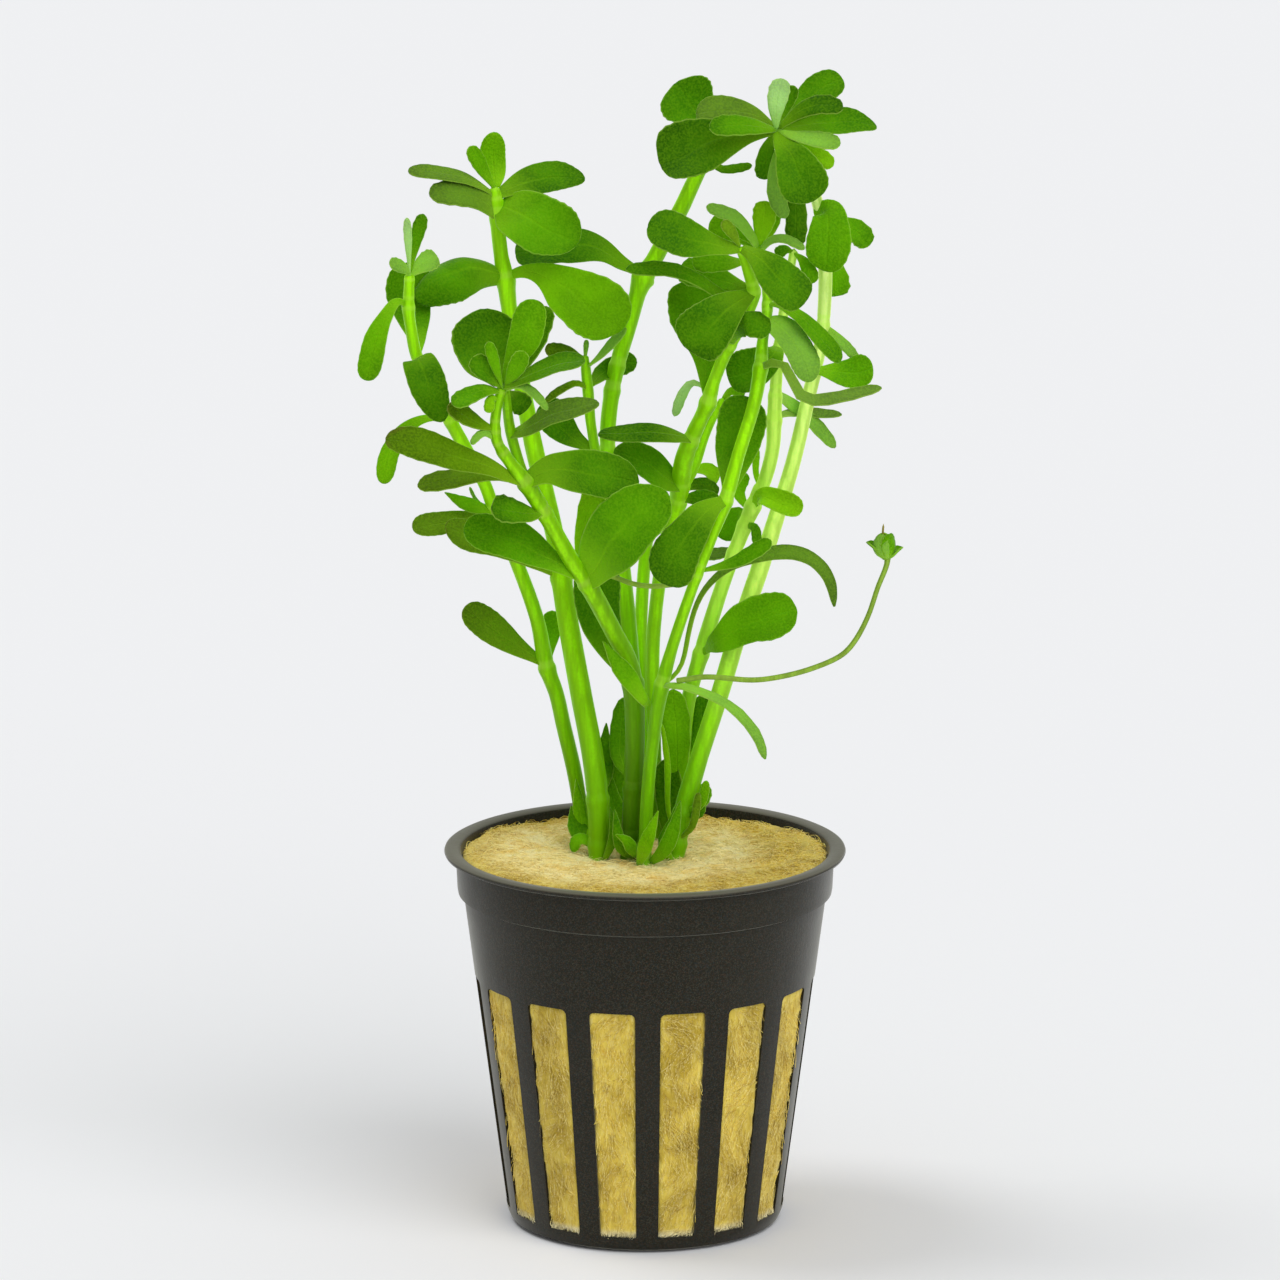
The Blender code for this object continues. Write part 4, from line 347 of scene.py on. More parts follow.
# Small leaves grown as one with their stem, by stem: (outline, tone, width seen, roll, midrib)
SMALL_LEAVES = {
    "stem_far_left": (
        ("blade", "fresh", 2.6, 0, ((-12.6, 23.9, 3.8), (-12.2, 27.5, 5.6), (-12.0, 30.9, 6.4))),
        ("pointed", "fresh", 1.9, 20, ((-19.5, 43.8, 2.3), (-23.5, 44.9, 1.2), (-26.1, 46.3, 0.6))),
        ("strap", "pale", 0.5, 0, ((-20, 43.8, 2.3), (-22.0, 45.4, 2.6), (-22.8, 47, 2.6))),
        ("blade", "pale", 1.7, 20, ((-30.5, 74.5, -0.3), (-31.5, 75.5, -1.6), (-33.3, 76.2, -2.6))),
        ("blade", "pale", 2.8, 20, ((-30.6, 74.6, -0.2), (-28.8, 75.9, 0.4), (-26.9, 76.9, 0.8))),
        ("blade", "milk", 1.1, 0, ((-30.6, 74.6, -0.4), (-30.8, 79, -1.2), (-30.9, 82, -1.2))),
        ("blade", "rich", 1.8, 0, ((-30.6, 74.6, -0.2), (-29.8, 79, 0.2), (-28.8, 82.4, 0.4))),
    ),
    "stem_left": (
        ("strap", "dull", 3.3, 25,
         ((-18.9, 82.2, 4.8), (-21.5, 84.3, 3.6), (-24.8, 85.1, 2), (-28.0, 85.0, 1))),
        ("blade", "fresh", 2.0, 15, ((-19.5, 85.6, 4.8), (-21.2, 88.5, 3.8), (-22.8, 91.2, 3))),
        ("pointed", "bright", 2.0, 0, ((-6.1, 1.0, -1), (-8.0, 2.4, 0.8), (-8.9, 9, 1.2))),
        ("pointed", "rich", 2.6, 0, ((-6.3, 6.6, -1.1), (-5.4, 10, 1.4), (-5.0, 16.3, 1.6))),
        ("pointed", "dark", 1.3, 0, ((-5.4, -1.8, -1.9), (-4.1, 1.6, -2.6), (-4.5, 5.4, -2.4))),
        ("pointed", "rich", 2.5, 10, ((-6.6, 0.2, -0.6), (-9.0, 3.0, 0.6), (-9.6, 5.6, 1.0))),
        ("oval", "fresh", 1.6, 30, ((-6.8, 0.6, -0.8), (-8.6, 1.2, -0.6), (-9.4, -0.4, -0.4))),
    ),
    "stem_forked": (
        ("pointed", "fresh", 2.5, 15, ((0.4, 18.7, -4.6), (-2.3, 22.2, -5.8), (-5.4, 26.9, -6.2))),
        ("blade", "dark", 3.5, 35, ((-13.1, 43.7, -8), (-15.2, 43.4, -9.4), (-20, 44.4, -10.4))),
        ("blade", "moss", 2.6, 30,
         ((-15.5, 47.6, -8.6), (-20, 48.4, -8.2), (-25, 47.9, -7.8), (-29.5, 47.2, -7.4))),
        ("blade", "olive", 2.3, 30, ((-19.4, 54.4, -10), (-22, 55.5, -11), (-25.7, 57.4, -12))),
        ("strap", "pale", 1.0, 20,
         ((-19.4, 53.2, -9.9), (-20.8, 54.1, -10.8), (-21.6, 53.8, -11.2), (-22.6, 52.6, -11.4))),
        ("blade", "lime", 1.4, 0, ((-19.0, 58.4, -10.4), (-20.1, 58.4, -11.6), (-20.4, 56.7, -12.2))),
        ("blade", "mid", 2.3, 30, ((-18.7, 59.4, -10.5), (-21.5, 59.4, -12), (-25.1, 57.6, -13))),
        ("blade", "rich", 2.7, 0, ((-18.6, 59.8, -10.6), (-20.4, 61.7, -11.6), (-22.4, 63.9, -12))),
        ("blade", "fresh", 1.5, 0, ((-18.5, 59.9, -10.8), (-19.4, 62.8, -12.2), (-20.4, 65.8, -12.8))),
        ("blade", "dark", 3.4, 10, ((-18.2, 59.8, -10.3), (-15.6, 63.6, -8.8), (-12.6, 70.5, -8.2))),
        ("blade", "fresh", 2.2, 0, ((-18.2, 60.0, -10.6), (-16.6, 62.6, -12.6), (-15.7, 64.7, -13))),
        ("strap", "pale", 1.1, 20,
         ((-18.3, 59.6, -10.4), (-16.2, 60.3, -12.2), (-14.4, 59.1, -13), (-12.7, 57.0, -13.2))),
        ("blade", "dark", 2.9, 0, ((-18.1, 59.4, -10.1), (-16.8, 58.4, -8.6), (-15.3, 57.0, -8))),
        ("blade", "lime", 3.0, 0,
         ((-8.2, 35.8, -5.8), (-8.2, 40, -4), (-7.2, 44, -3.2), (-5.8, 48.5, -2.8))),
        ("pointed", "rich", 1.6, 0, ((-1.8, -1.2, -1.9), (-3.2, 0.5, -3.8), (-4.0, 5, -4.2))),
        ("pointed", "fresh", 1.6, 10, ((-1.2, -1.0, -2.6), (-2.4, 1.0, -4.4), (-3.8, 1.8, -5.0))),
        ("round", "mid", 2.8, 0,
         ((-1.8, 9.0, -1.0), (-3.2, 12.4, 1.2), (-3.0, 16.0, 1.6), (-2.3, 19.8, 1.4))),
        ("pointed", "fresh", 2.6, 0, ((-1.6, 2.0, -1.2), (-4.2, 5.6, 1.0), (-4.4, 9.6, 1.6))),
        ("blade", "fresh", 4.4, 0,
         ((-1.8, -1.0, -0.6), (-3.6, 3.6, 1.6), (-4.0, 8.4, 2.2), (-3.8, 12.6, 2.2))),
    ),
    "stem_long": (
        ("strap", "dark", 1.2, 0, ((8.4, 90.8, 8), (9.6, 88.5, 7), (11.6, 88.4, 6.4), (13.9, 88.8, 6))),
        ("blade", "olive", 1.8, 35, ((-7.7, 63.3, 4.3), (-10, 64.5, 3.4), (-13.1, 64.8, 2.8))),
        ("strap", "pale", 0.7, 0, ((-7.8, 63.8, 4.3), (-7.6, 66.1, 3.8))),
        ("blade", "pale", 1.2, 30, ((-7.6, 62.5, 4.4), (-5.5, 64.4, 2.6), (-2.5, 67.7, 2))),
        ("blade", "dark", 2.9, 10,
         ((-7.4, 59.8, 4.6), (-5.4, 61.8, 8.2), (-3.2, 62.9, 9.8), (-1.1, 63.4, 10))),
        ("strap", "olive", 1.0, 35,
         ((-7.5, 59.8, 4.4), (-9, 60.5, 3.4), (-10.6, 59.8, 2.8), (-13, 58, 2.2))),
    ),
    "stem_branching": (
        ("blade", "moss", 1.5, 10, ((12.3, 78.2, -7.2), (11.4, 79.9, -8), (10.1, 81.5, -8.4))),
        ("blade", "rich", 3.4, 10,
         ((11.0, 65.6, -5.2), (12.0, 67.6, -8.8), (13.5, 68.3, -10), (16.4, 67.2, -10.6))),
        ("strap", "rich", 1.9, 30,
         ((14.1, 72.2, -6.2), (11, 71.4, -5.4), (9.2, 72.3, -5.8), (6.5, 74.1, -6.4), (3, 75.2, -7),
          (-2.4, 75.3, -7.6))),
        ("blade", "milk", 1.3, 10,
         ((8.6, 59.4, -4), (6.2, 60.6, -2.4), (4.8, 59, -1.6), (3.8, 56.2, -1.2))),
        ("blade", "deep", 2.2, 20, ((4.6, 46.4, -0.6), (7.3, 47.2, 1.4), (9.3, 46, 2))),
        ("blade", "rich", 2.4, 20, ((4.2, 45.2, -0.4), (7.0, 45.5, -1.2), (9.6, 44.9, -1.6))),
        ("blade", "lime", 2.2, 20, ((6.0, 48.9, 0.3), (7.8, 49.2, 1.8), (9.5, 48, 2.6))),
        ("blade", "mid", 3.8, 15,
         ((14.0, 72.8, -6.3), (10.5, 73.4, -3.6), (7, 74.6, -2.6), (4.3, 75.4, -2))),
        ("blade", "fresh", 3.0, 20,
         ((13.0, 76.2, -6.9), (11, 76.1, -5), (9, 76.4, -4.6), (6, 76.6, -4.2))),
        ("strap", "bright", 1.2, 10, ((10.2, 58.5, 2), (11.3, 59.5, 2.6), (13, 59, 3))),
    ),
    "stem_front": (
        ("strap", "pale", 1.3, 30,
         ((2.3, 21.2, -4.8), (5, 21.0, -7.6), (8, 20.0, -8.4), (10.5, 18.8, -8.8), (12.6, 17.1, -9),
          (14.6, 14.6, -9.2), (15.7, 11.6, -9.2))),
        ("blade", "mid", 2.0, 20,
         ((6.9, 36.0, -6.1), (11.2, 37.0, -6.4), (13.6, 38.2, -6.8), (16.4, 40, -7))),
        ("strap", "grey", 1.9, 25,
         ((15.0, 62.6, -4.6), (17.3, 63.2, -6.6), (18.4, 62.3, -7.4), (19.1, 60.7, -8), (20, 59, -8.2),
          (21.5, 58.2, -8.2), (25, 58.6, -8.2), (30.8, 59.9, -8))),
        ("blade", "bright", 3.4, 15, ((15.0, 77.8, -0.5), (12, 79.9, 1.0), (8.4, 81.4, 1.6))),
        ("strap", "pale", 1.7, 15,
         ((14.9, 77.9, -0.5), (13.4, 80.3, -1.6), (11.5, 82.2, -2.2), (8.0, 83.5, -2.6))),
        ("blade", "bright", 2.4, 0, ((14.9, 78.1, -0.4), (13, 80.1, 0), (11.3, 82, 0))),
        ("blade", "lime", 3.0, 10, ((14.8, 78.2, -0.5), (15.4, 81, -1.4), (15.7, 84.1, -1.6))),
        ("blade", "lime", 2.6, 0, ((14.9, 78.0, -0.3), (16.1, 81, 0.8), (16.9, 83.9, 1))),
        ("strap", "pale", 1.2, 30,
         ((15.0, 77.8, -0.6), (16.5, 79.1, -2.6), (18.3, 79.2, -3.4), (20.8, 77.9, -4))),
        ("pointed", "mid", 2.0, 0, ((0.6, -2.0, -2.9), (2.4, -0.4, -4.6), (3.7, 2.6, -5), (4.6, 6.2, -5))),
        ("pointed", "bright", 1.9, 10, ((-0.8, -2.2, -3.4), (0.3, 1.0, -5.8), (1.7, 4.9, -6.2))),
        ("pointed", "dark", 2.0, 0, ((0.3, -1.2, -2.6), (-0.9, 1.4, -1.8), (-1.5, 5.4, -1.4))),
    ),
    "stem_middle_right": (
        ("blade", "bright", 1.8, 10, ((13.8, 43.6, 2.5), (12.2, 46.4, 4.4), (13.2, 48.8, 4.8))),
        ("blade", "fresh", 3.4, 10,
         ((13.4, 43.2, 2.5), (12.2, 43.4, 4.6), (11.2, 42.4, 5.2), (9.9, 40.4, 5.4))),
        ("strap", "lime", 0.9, 0, ((15.0, 46.8, 2.4), (14.4, 49, 4), (14.6, 52, 4.4))),
        ("strap", "mid", 1.3, 0, ((13.0, 42, 2.6), (14.3, 41.6, 0.8), (14.6, 39.2, 0.2))),
        ("blade", "grey", 1.5, 40, ((11.6, 38.6, 2.7), (10.6, 38.4, 4.8), (8, 38.1, 5.4))),
        ("strap", "grey", 1.3, 30,
         ((16.8, 55.8, 2), (18.4, 56.5, 6.4), (20.4, 56.7, 10), (22.5, 56.6, 10.4), (25.6, 56.4, 10.4))),
        ("strap", "pale", 1.9, 20,
         ((16.9, 58.9, 2), (18.6, 58.1, 7), (21.7, 55.5, 10), (24.8, 52.1, 10.4))),
        ("blade", "fresh", 1.9, 0,
         ((19.3, 77.5, 2), (20.4, 76.6, 1), (21.2, 75.2, 0.4), (21.9, 73.5, 0.2))),
        ("blade", "rich", 1.6, 0, ((19.3, 77.6, 2), (18.2, 77.9, 1.6), (17.0, 77.2, 1.4))),
        ("blade", "dark", 3.6, 0, ((4.0, -1.0, 3.4), (3.2, 3.0, 1.8), (3.0, 7.6, 1.4), (2.8, 11.6, 1.4))),
        ("blade", "bright", 3.6, 0,
         ((4.5, 2.4, 3.4), (4.1, 8.0, 1.6), (4.2, 14.0, 1.0), (3.5, 20.6, 1.2))),
        ("strap", "lime", 0.8, 0, ((4.4, 1.0, 3.2), (3.0, 5.0, 0.4), (2.9, 11.0, 0.2), (2.2, 16.2, 0.4))),
        ("blade", "rich", 2.6, 0, ((4.6, 8.6, 3.7), (6.6, 12.6, 4.6), (7.4, 16.8, 5.0), (7.4, 20.0, 5.0))),
    ),
    "stem_right": (
        ("blade", "mid", 3.1, 15,
         ((23.1, 80.2, 4.3), (26, 80.8, 5.4), (27.8, 80.0, 5.8), (29.1, 78.4, 5.8))),
        ("blade", "fresh", 3.9, 10, ((23.4, 77.0, 5.2), (24.4, 75.4, 7), (24.7, 71.7, 7.6))),
        ("strap", "pale", 1.4, 10, ((23.2, 68, 5.6), (25.4, 66, 5), (27.7, 63.6, 4.6))),
        ("blade", "rich", 2.8, 30,
         ((17.2, 93.4, -2.1), (13.8, 93.8, -5), (11, 93.9, -6.2), (8.3, 93.8, -6.8))),
        ("blade", "milk", 2.6, 0, ((17.2, 93.3, -2.1), (17.0, 96.4, -3.2), (17.7, 100, -3))),
        ("blade", "dark", 1.9, 0, ((17.3, 93.4, -2), (18.2, 96.4, -0.8), (19.4, 99.2, -0.6))),
        ("blade", "deep", 2.6, 30,
         ((17.3, 93.4, -2.1), (20.2, 95.9, -3.4), (23, 96.7, -4), (25.8, 96.2, -4.2))),
        ("blade", "pale", 2.2, 30, ((17.3, 93.3, -2.2), (20.5, 92.5, -4), (25.4, 91.5, -4.8))),
        ("blade", "lime", 2.4, 10, ((17.6, 93.0, -1.9), (20.4, 91.1, -2.6), (24.4, 88.7, -2.6))),
        ("blade", "rich", 2.6, 0, ((17.3, 93.3, -1.9), (15.9, 91.0, -1.4), (15.7, 87.0, -1))),
        ("strap", "pale", 2.2, 0,
         ((18.1, 92.4, -1.4), (17.1, 89.0, -2.6), (17.1, 85, -2.8), (18.2, 82.0, -2.6))),
        ("blade", "deep", 2.8, 0,
         ((19.9, 90.2, -0.1), (19.6, 86, -1.4), (19.7, 82, -1.4), (19.7, 78.2, -1.2))),
        ("strap", "bright", 1.2, 0, ((5.0, 4.8, -0.7), (7.1, 5.6, -2.4), (8.0, 8.8, -2.6))),
        ("strap", "moss", 1.0, 0, ((4.2, 1.0, -1), (6.2, 3.0, -2.6), (6.9, 7.2, -2.8))),
        ("pointed", "mid", 1.6, 0,
         ((3.6, -1.8, -1.8), (2.4, 0.3, -3.2), (3.5, 3.5, -3.4), (4.2, 5.8, -3.0))),
        ("round", "fresh", 2.4, 20, ((4.9, 4.6, -0.9), (6.8, 6.0, -0.6), (8.0, 8.3, -0.4))),
        ("oval", "rich", 1.8, 0, ((5.2, 5.0, -0.8), (6.6, 4.6, -1.8), (7.6, 5.8, -2.2))),
    ),
}

# Rockwool
WOOL_TOP = 49.2
WOOL_EDGE_RADIUS = 23.7
WOOL_SAG = 0.35
WOOL_GAP = 0.3
WOOL_GRAIN = 0.5
PLUG_SEGMENTS = 96
PAD_ROOT = 1.3
PAD_RECESS = 0.42
PAD_OVERLAP = 0.12
SUNK_SLOTS = (3, 11)
SUNK_DEPTH = 0.6
# Where its top sinks along the back of the pot: in steps that each reach so many degrees to both sides
SUNK_BACK = 0.9
SUNK_BACK_RADIUS = 20.0
SUNK_BACK_SPREADS = (50, 40, 30)
# Dents in its surface, in metres: (depth, size, fineness)
WOOL_DENTS = ((0.0005, 0.0035, 2), (0.0002, 0.0009, 1))
# Its pale middle, painted light that lifts the shade the plant casts on its top: how far it lies to the
# left, and the squared radii in metres between which it ends
PALE_SHIFT = 0.003
PALE_ENDS = (0.00018, 0.00044)

# Loose fibres on its top, in the slots and at the slots' frayed foot: their least and greatest length, how
# steeply they may rise, how they are combed as (turns per millimetre, spread in radians), and how they curl
FIBRE_SEED = 11
TOP_LENGTHS = (1.0, 3.2)
TOP_LIFTS = (0.15, 0.3, 0.5, 0.9)
TOP_COMB = (0.13, 7.0)
TOP_CURL = 0.22
TOP_STEPS = 4
SLOT_LENGTHS = (1.0, 3.6)
SLOT_LIFTS = (0.04, 0.1, 0.2)
SLOT_COMB = (0.16, 1.6)
SLOT_CURL = 0.15
SLOT_STEPS = 3
FRAYED_LENGTHS = (0.5, 1.1)
FRAYED_LIFTS = (0.7, 1.2)
FRAYED_SHARE = 0.1
FRAYED_HANG = 0.6

# Light: (name, the side it comes from, strength, how many degrees wide)
SUNS = (
    ("key_light", (0.42, -0.60, 0.68), 1.3, 50.0),
    ("side_light", (-0.41, 0.11, 0.90), 0.75, 22.0),
)
SKY_STRENGTH = 0.46
FLOOR_SIZE = 8.0

# How a leaf's and a stem's surface is divided
BLADE_COLUMNS = 22
BLADE_ROWS = 8
SMALL_BLADE_COLUMNS = 12
SMALL_BLADE_ROWS = 6
TUBE_SPACING = 0.4
TUBE_SIDES = 16
GUIDE_SPACING = 0.7
MERGE_DISTANCE = 0.000002

# A stem's joints: how near two leaves' feet make one joint, how far above it its tint lies and how far that
# reaches, and the ring and the groove there: (how far above the joint, width, share of the swelling)
JOINT_SPACING = 2.0
JOINT_TINT_ABOVE = 0.5
JOINT_REACH = 2.0
JOINT_SHAPE = ((-0.2, 0.7, 1.0), (0.6, 0.3, -0.7))
TIP_SHARE = 0.12

# A leaf's blade: its columns crowd toward the tip, its edge is toothed and wavy, its rim and end are thin
CROWDING = 1.5
TOOTH_DEPTH = 0.045
TOOTHED_FROM = 0.4
TOOTHED_OVER = 0.3
THIN_END = 0.1
RIM_THICKNESS = 0.3
TWIST = 0.25
CRUMPLE_SIZE = 0.0035
WAVE_SIZE = 0.0045
WAVE_SHARE = 0.24

# Heights in metres between which a stem's tones change, from its foot up
STEM_RISES = {
    "foot": (0.0525, 0.0575), "middle": (0.054, 0.074), "base": (0.068, 0.090), "top": (0.085, 0.128),
    "shade": (0.056, 0.084), "glow": (0.054, 0.086),
}

# Outlines of leaves: (how far along the blade, half width as a share of the widest)
OUTLINES = {
    "blade": (
        (0.0, 0.2), (0.12, 0.29), (0.28, 0.5), (0.45, 0.75), (0.6, 0.92), (0.74, 1.0), (0.85, 0.96),
        (0.93, 0.8), (0.975, 0.55), (0.993, 0.34), (1.0, 0.1),
    ),
    "round": (
        (0.0, 0.3), (0.08, 0.5), (0.2, 0.76), (0.38, 0.95), (0.55, 1.0), (0.72, 0.97), (0.84, 0.85),
        (0.93, 0.62), (0.98, 0.36), (1.0, 0.1),
    ),
    "oval": (
        (0.0, 0.32), (0.12, 0.5), (0.3, 0.8), (0.5, 0.98), (0.62, 1.0), (0.78, 0.88), (0.9, 0.64),
        (0.97, 0.38), (1.0, 0.1),
    ),
    "strap": (
        (0.0, 0.45), (0.15, 0.62), (0.4, 0.82), (0.65, 1.0), (0.82, 0.97), (0.92, 0.8), (0.97, 0.58),
        (0.99, 0.38), (1.0, 0.12),
    ),
    "fan": (
        (0.0, 0.13), (0.15, 0.2), (0.35, 0.44), (0.55, 0.78), (0.72, 1.0), (0.86, 0.97), (0.94, 0.8),
        (0.98, 0.52), (1.0, 0.1),
    ),
    "pointed": (
        (0.0, 0.36), (0.15, 0.62), (0.4, 0.98), (0.55, 0.96), (0.72, 0.7), (0.87, 0.38), (0.96, 0.16),
        (1.0, 0.05),
    ),
    "stalked": (
        (0.0, 0.3), (0.3, 0.34), (0.45, 0.5), (0.6, 0.85), (0.74, 1.0), (0.88, 0.86), (0.97, 0.48),
        (1.0, 0.12),
    ),
}
# Leaves folded like a trough: (how far their edges rise as a share of the half width, half width)
FOLDED = {
    "leaf_left_left_big_blade": (-0.9, 3.1),
    "leaf_far_left_hanging_blade": (0.5, 1.6), "leaf_middle_right_folded_blade": (0.6, 1.7),
    "stem_front_small_2": (0.35, 0.9),
}
# Leaf tones from dark to pale, and two greyed ones: each leaf takes the tone nearest how bright it looks,
# so the darker tones are partly painted shade, the paler ones partly painted light, and dull and grey a
# painted sheen
LEAF_TONES = (
    "deep", "dark", "rich", "mid", "fresh", "bright", "lime", "olive", "moss", "dull", "pale", "milk",
    "grey",
)
WITHERED_SHARE = {"olive": 0.2, "moss": 0.1}
STEM_TONES = {
    "stem_far_left": "lime", "stem_left": "lime", "stem_hidden": "lime", "stem_branching": "lime",
    "stem_middle_right": "tender", "stem_right": "pale", "stem_forked": "deep", "stem_short": "red",
}


# Sizes and colours that can be changed

def colour(name, description, value):
    return FloatVectorProperty(
        name=name, description=description, default=value, subtype="COLOR", size=3, min=0.0, max=1.0
    )


class MoneywortSizes(bpy.types.PropertyGroup):
    leaf_thickness: FloatProperty(
        name="Leaf thickness", description="Thickness of a leaf along its midrib",
        default=0.0005, min=0.0001, max=0.001, unit="LENGTH", precision=5,
    )
    leaf_cup: FloatProperty(
        name="Leaf cup", description="How far a leaf's edges rise, as a share of its half width",
        default=0.16, min=0.0, max=0.6, subtype="FACTOR",
    )
    leaf_crumple: FloatProperty(
        name="Leaf crumple", description="Depth of the soft dents in a leaf",
        default=0.00035, min=0.0, max=0.001, unit="LENGTH", precision=5,
    )
    joint_swelling: FloatProperty(
        name="Joint swelling", description="How much thicker a stem is where a leaf grows from it",
        default=0.12, min=0.0, max=0.5, subtype="FACTOR",
    )
    pot_segments: IntProperty(
        name="Pot segments", description="Faces round the pot", default=180, min=60, max=360,
    )
    fibre_width: FloatProperty(
        name="Fibre width", description="Width of a bundle of rockwool fibres",
        default=0.00007, min=0.00002, max=0.0004, unit="LENGTH", precision=5,
    )
    top_fibres: IntProperty(
        name="Top fibres", description="Loose fibres on the rockwool's top",
        default=12000, min=0, max=20000,
    )
    slot_fibres: IntProperty(
        name="Slot fibres", description="Loose fibres in each slot of the pot",
        default=1100, min=0, max=1800,
    )


class MoneywortColours(bpy.types.PropertyGroup):
    # The leaf tones' darker steps are partly painted shade and their paler steps partly painted light
    leaf_deep: colour("Deep leaf", "Old leaves in the shade", (0.032, 0.155, 0.0004))
    leaf_dark: colour("Dark leaf", "Full-grown leaves", (0.045, 0.205, 0.0004))
    leaf_rich: colour("Rich leaf", "Full-grown leaves", (0.062, 0.265, 0.0004))
    leaf_mid: colour("Leaf", "Most of the leaves", (0.088, 0.34, 0.0005))
    leaf_fresh: colour("Fresh leaf", "Young leaves", (0.125, 0.43, 0.0006))
    leaf_bright: colour("Bright leaf", "Young leaves in full light", (0.18, 0.54, 0.001))
    leaf_lime: colour("Lime leaf", "Buds and thin edges", (0.28, 0.68, 0.004))
    leaf_olive: colour("Olive leaf", "Ageing leaves", (0.088, 0.205, 0.001))
    leaf_moss: colour("Moss leaf", "Paler ageing leaves", (0.145, 0.30, 0.008))
    # Painted sheen: the dull tone's grey stands for light glancing along the leaf
    leaf_dull: colour("Dull leaf", "Grown leaves with a grey skin", (0.115, 0.25, 0.02))
    # Pale and milky tones are partly painted light that comes through thin leaves
    leaf_pale: colour("Pale leaf", "Thin leaves that the light comes through", (0.25, 0.56, 0.06))
    leaf_milk: colour("Milky leaf", "Young leaves that the light shines through", (0.45, 0.80, 0.24))
    # Painted sheen: the grey tone stands for light glancing along leaves seen along their skin
    leaf_grey: colour("Grey leaf", "Leaves seen along their skin", (0.16, 0.31, 0.04))
    leaf_tip: colour("Withered tip", "Tips and spots that have turned brown", (0.11, 0.12, 0.01))
    stem_green: colour("Green stem", "Stems in the middle of the plant", (0.22, 0.66, 0.001))
    stem_lime: colour("Lime stem", "Younger stems", (0.40, 0.97, 0.004))
    # The pale stem's paleness is partly painted light that comes through it
    stem_pale: colour("Pale stem", "Stems that the light comes through", (0.70, 1.0, 0.17))
    stem_red: colour("Reddish stem", "The short stem", (0.36, 0.24, 0.04))
    stalk: colour("Flower stalk", "The two bare stalks", (0.33, 0.54, 0.06))
    plastic: colour("Plastic", "The pot", (0.0045, 0.0042, 0.001))
    # This tint also makes the painted highlight on the pot's lip
    dust_and_sheen: colour("Dust", "Speckles on the pot", (0.20, 0.19, 0.14))
    wool_light: colour("Pale wool", "Clean rockwool", (0.88, 0.69, 0.11))
    wool_dark: colour("Ochre wool", "Older patches of the rockwool", (0.52, 0.35, 0.02))
    floor: colour("Floor", "The stage under the pot", (0.905, 0.913, 0.930))


# Materials

class Socket:
    """One output of a material's nodes, with arithmetic written as usual."""

    def __init__(self, look, output):
        self.look = look
        self.output = output

    def math(self, operation, first, second):
        return self.look.node("ShaderNodeMath", {"operation": operation}, {0: first, 1: second})

    def __add__(self, other):
        return self.math("ADD", self, other)

    def __radd__(self, other):
        return self.math("ADD", other, self)

    def __sub__(self, other):
        return self.math("SUBTRACT", self, other)

    def __rsub__(self, other):
        return self.math("SUBTRACT", other, self)

    def __mul__(self, other):
        return self.math("MULTIPLY", self, other)

    def __rmul__(self, other):
        return self.math("MULTIPLY", other, self)

    def __abs__(self):
        return self.math("ABSOLUTE", self, 0.0)

    def ramp(self, low, high):
        """0 below low, 1 above high, and smooth between. Low may be the greater."""
        settings = {"interpolation_type": "SMOOTHSTEP"}
        inputs = {"Value": self, "From Min": low, "From Max": high}
        return self.look.node("ShaderNodeMapRange", settings, inputs)


class Look:
    """A material being made: its shader, and one method that adds any node."""

    def __init__(self, name, roughness, **constants):
        self.material = bpy.data.materials.new(name)
        self.material.use_nodes = True
        self.tree = self.material.node_tree
        self.shader = self.tree.nodes["Principled BSDF"]
        self.set("Roughness", roughness)
        for key, value in constants.items():
            self.set(key.replace("_", " "), value)

    def set(self, key, value):
        self.join(self.shader.inputs[key], value)

    def join(self, target, value):
        if isinstance(value, Socket):
            self.tree.links.new(value.output, target)
        else:
            target.default_value = value

    def node(self, kind, settings, inputs, output=0):
        made = self.tree.nodes.new(kind)
        for key, value in settings.items():
            setattr(made, key, value)
        for key, value in inputs.items():
            self.join(made.inputs[key], value)
        return Socket(self, made.outputs[output])

    def coordinates(self, output="Object"):
        return self.node("ShaderNodeTexCoord", {}, {}, output)

    def parts(self, vector):
        return [self.node("ShaderNodeSeparateXYZ", {}, {0: vector}, axis) for axis in range(3)]

    def stretched(self, vector, scale):
        return self.node("ShaderNodeMapping", {}, {"Vector": vector, "Scale": scale})

    def noise(self, vector, scale, detail=2.0, distortion=0.0):
        inputs = {"Vector": vector, "Scale": scale, "Detail": detail, "Distortion": distortion}
        return self.node("ShaderNodeTexNoise", {}, inputs)

    def mix(self, first, second, factor):
        inputs = {0: factor, 6: shade(first), 7: shade(second)}
        return self.node("ShaderNodeMix", {"data_type": "RGBA"}, inputs, 2)

    def bump(self, height, strength, distance, under=None):
        inputs = {"Height": height, "Strength": strength, "Distance": distance}
        if under:
            inputs["Normal"] = under
        return self.node("ShaderNodeBump", {}, inputs)


def shade(value):
    return value if isinstance(value, Socket) else (*value, 1.0)


def darker(value, share):
    return tuple(part * share for part in value)


def blended(first, second, share):
    return tuple(a + (b - a) * share for a, b in zip(first, second))


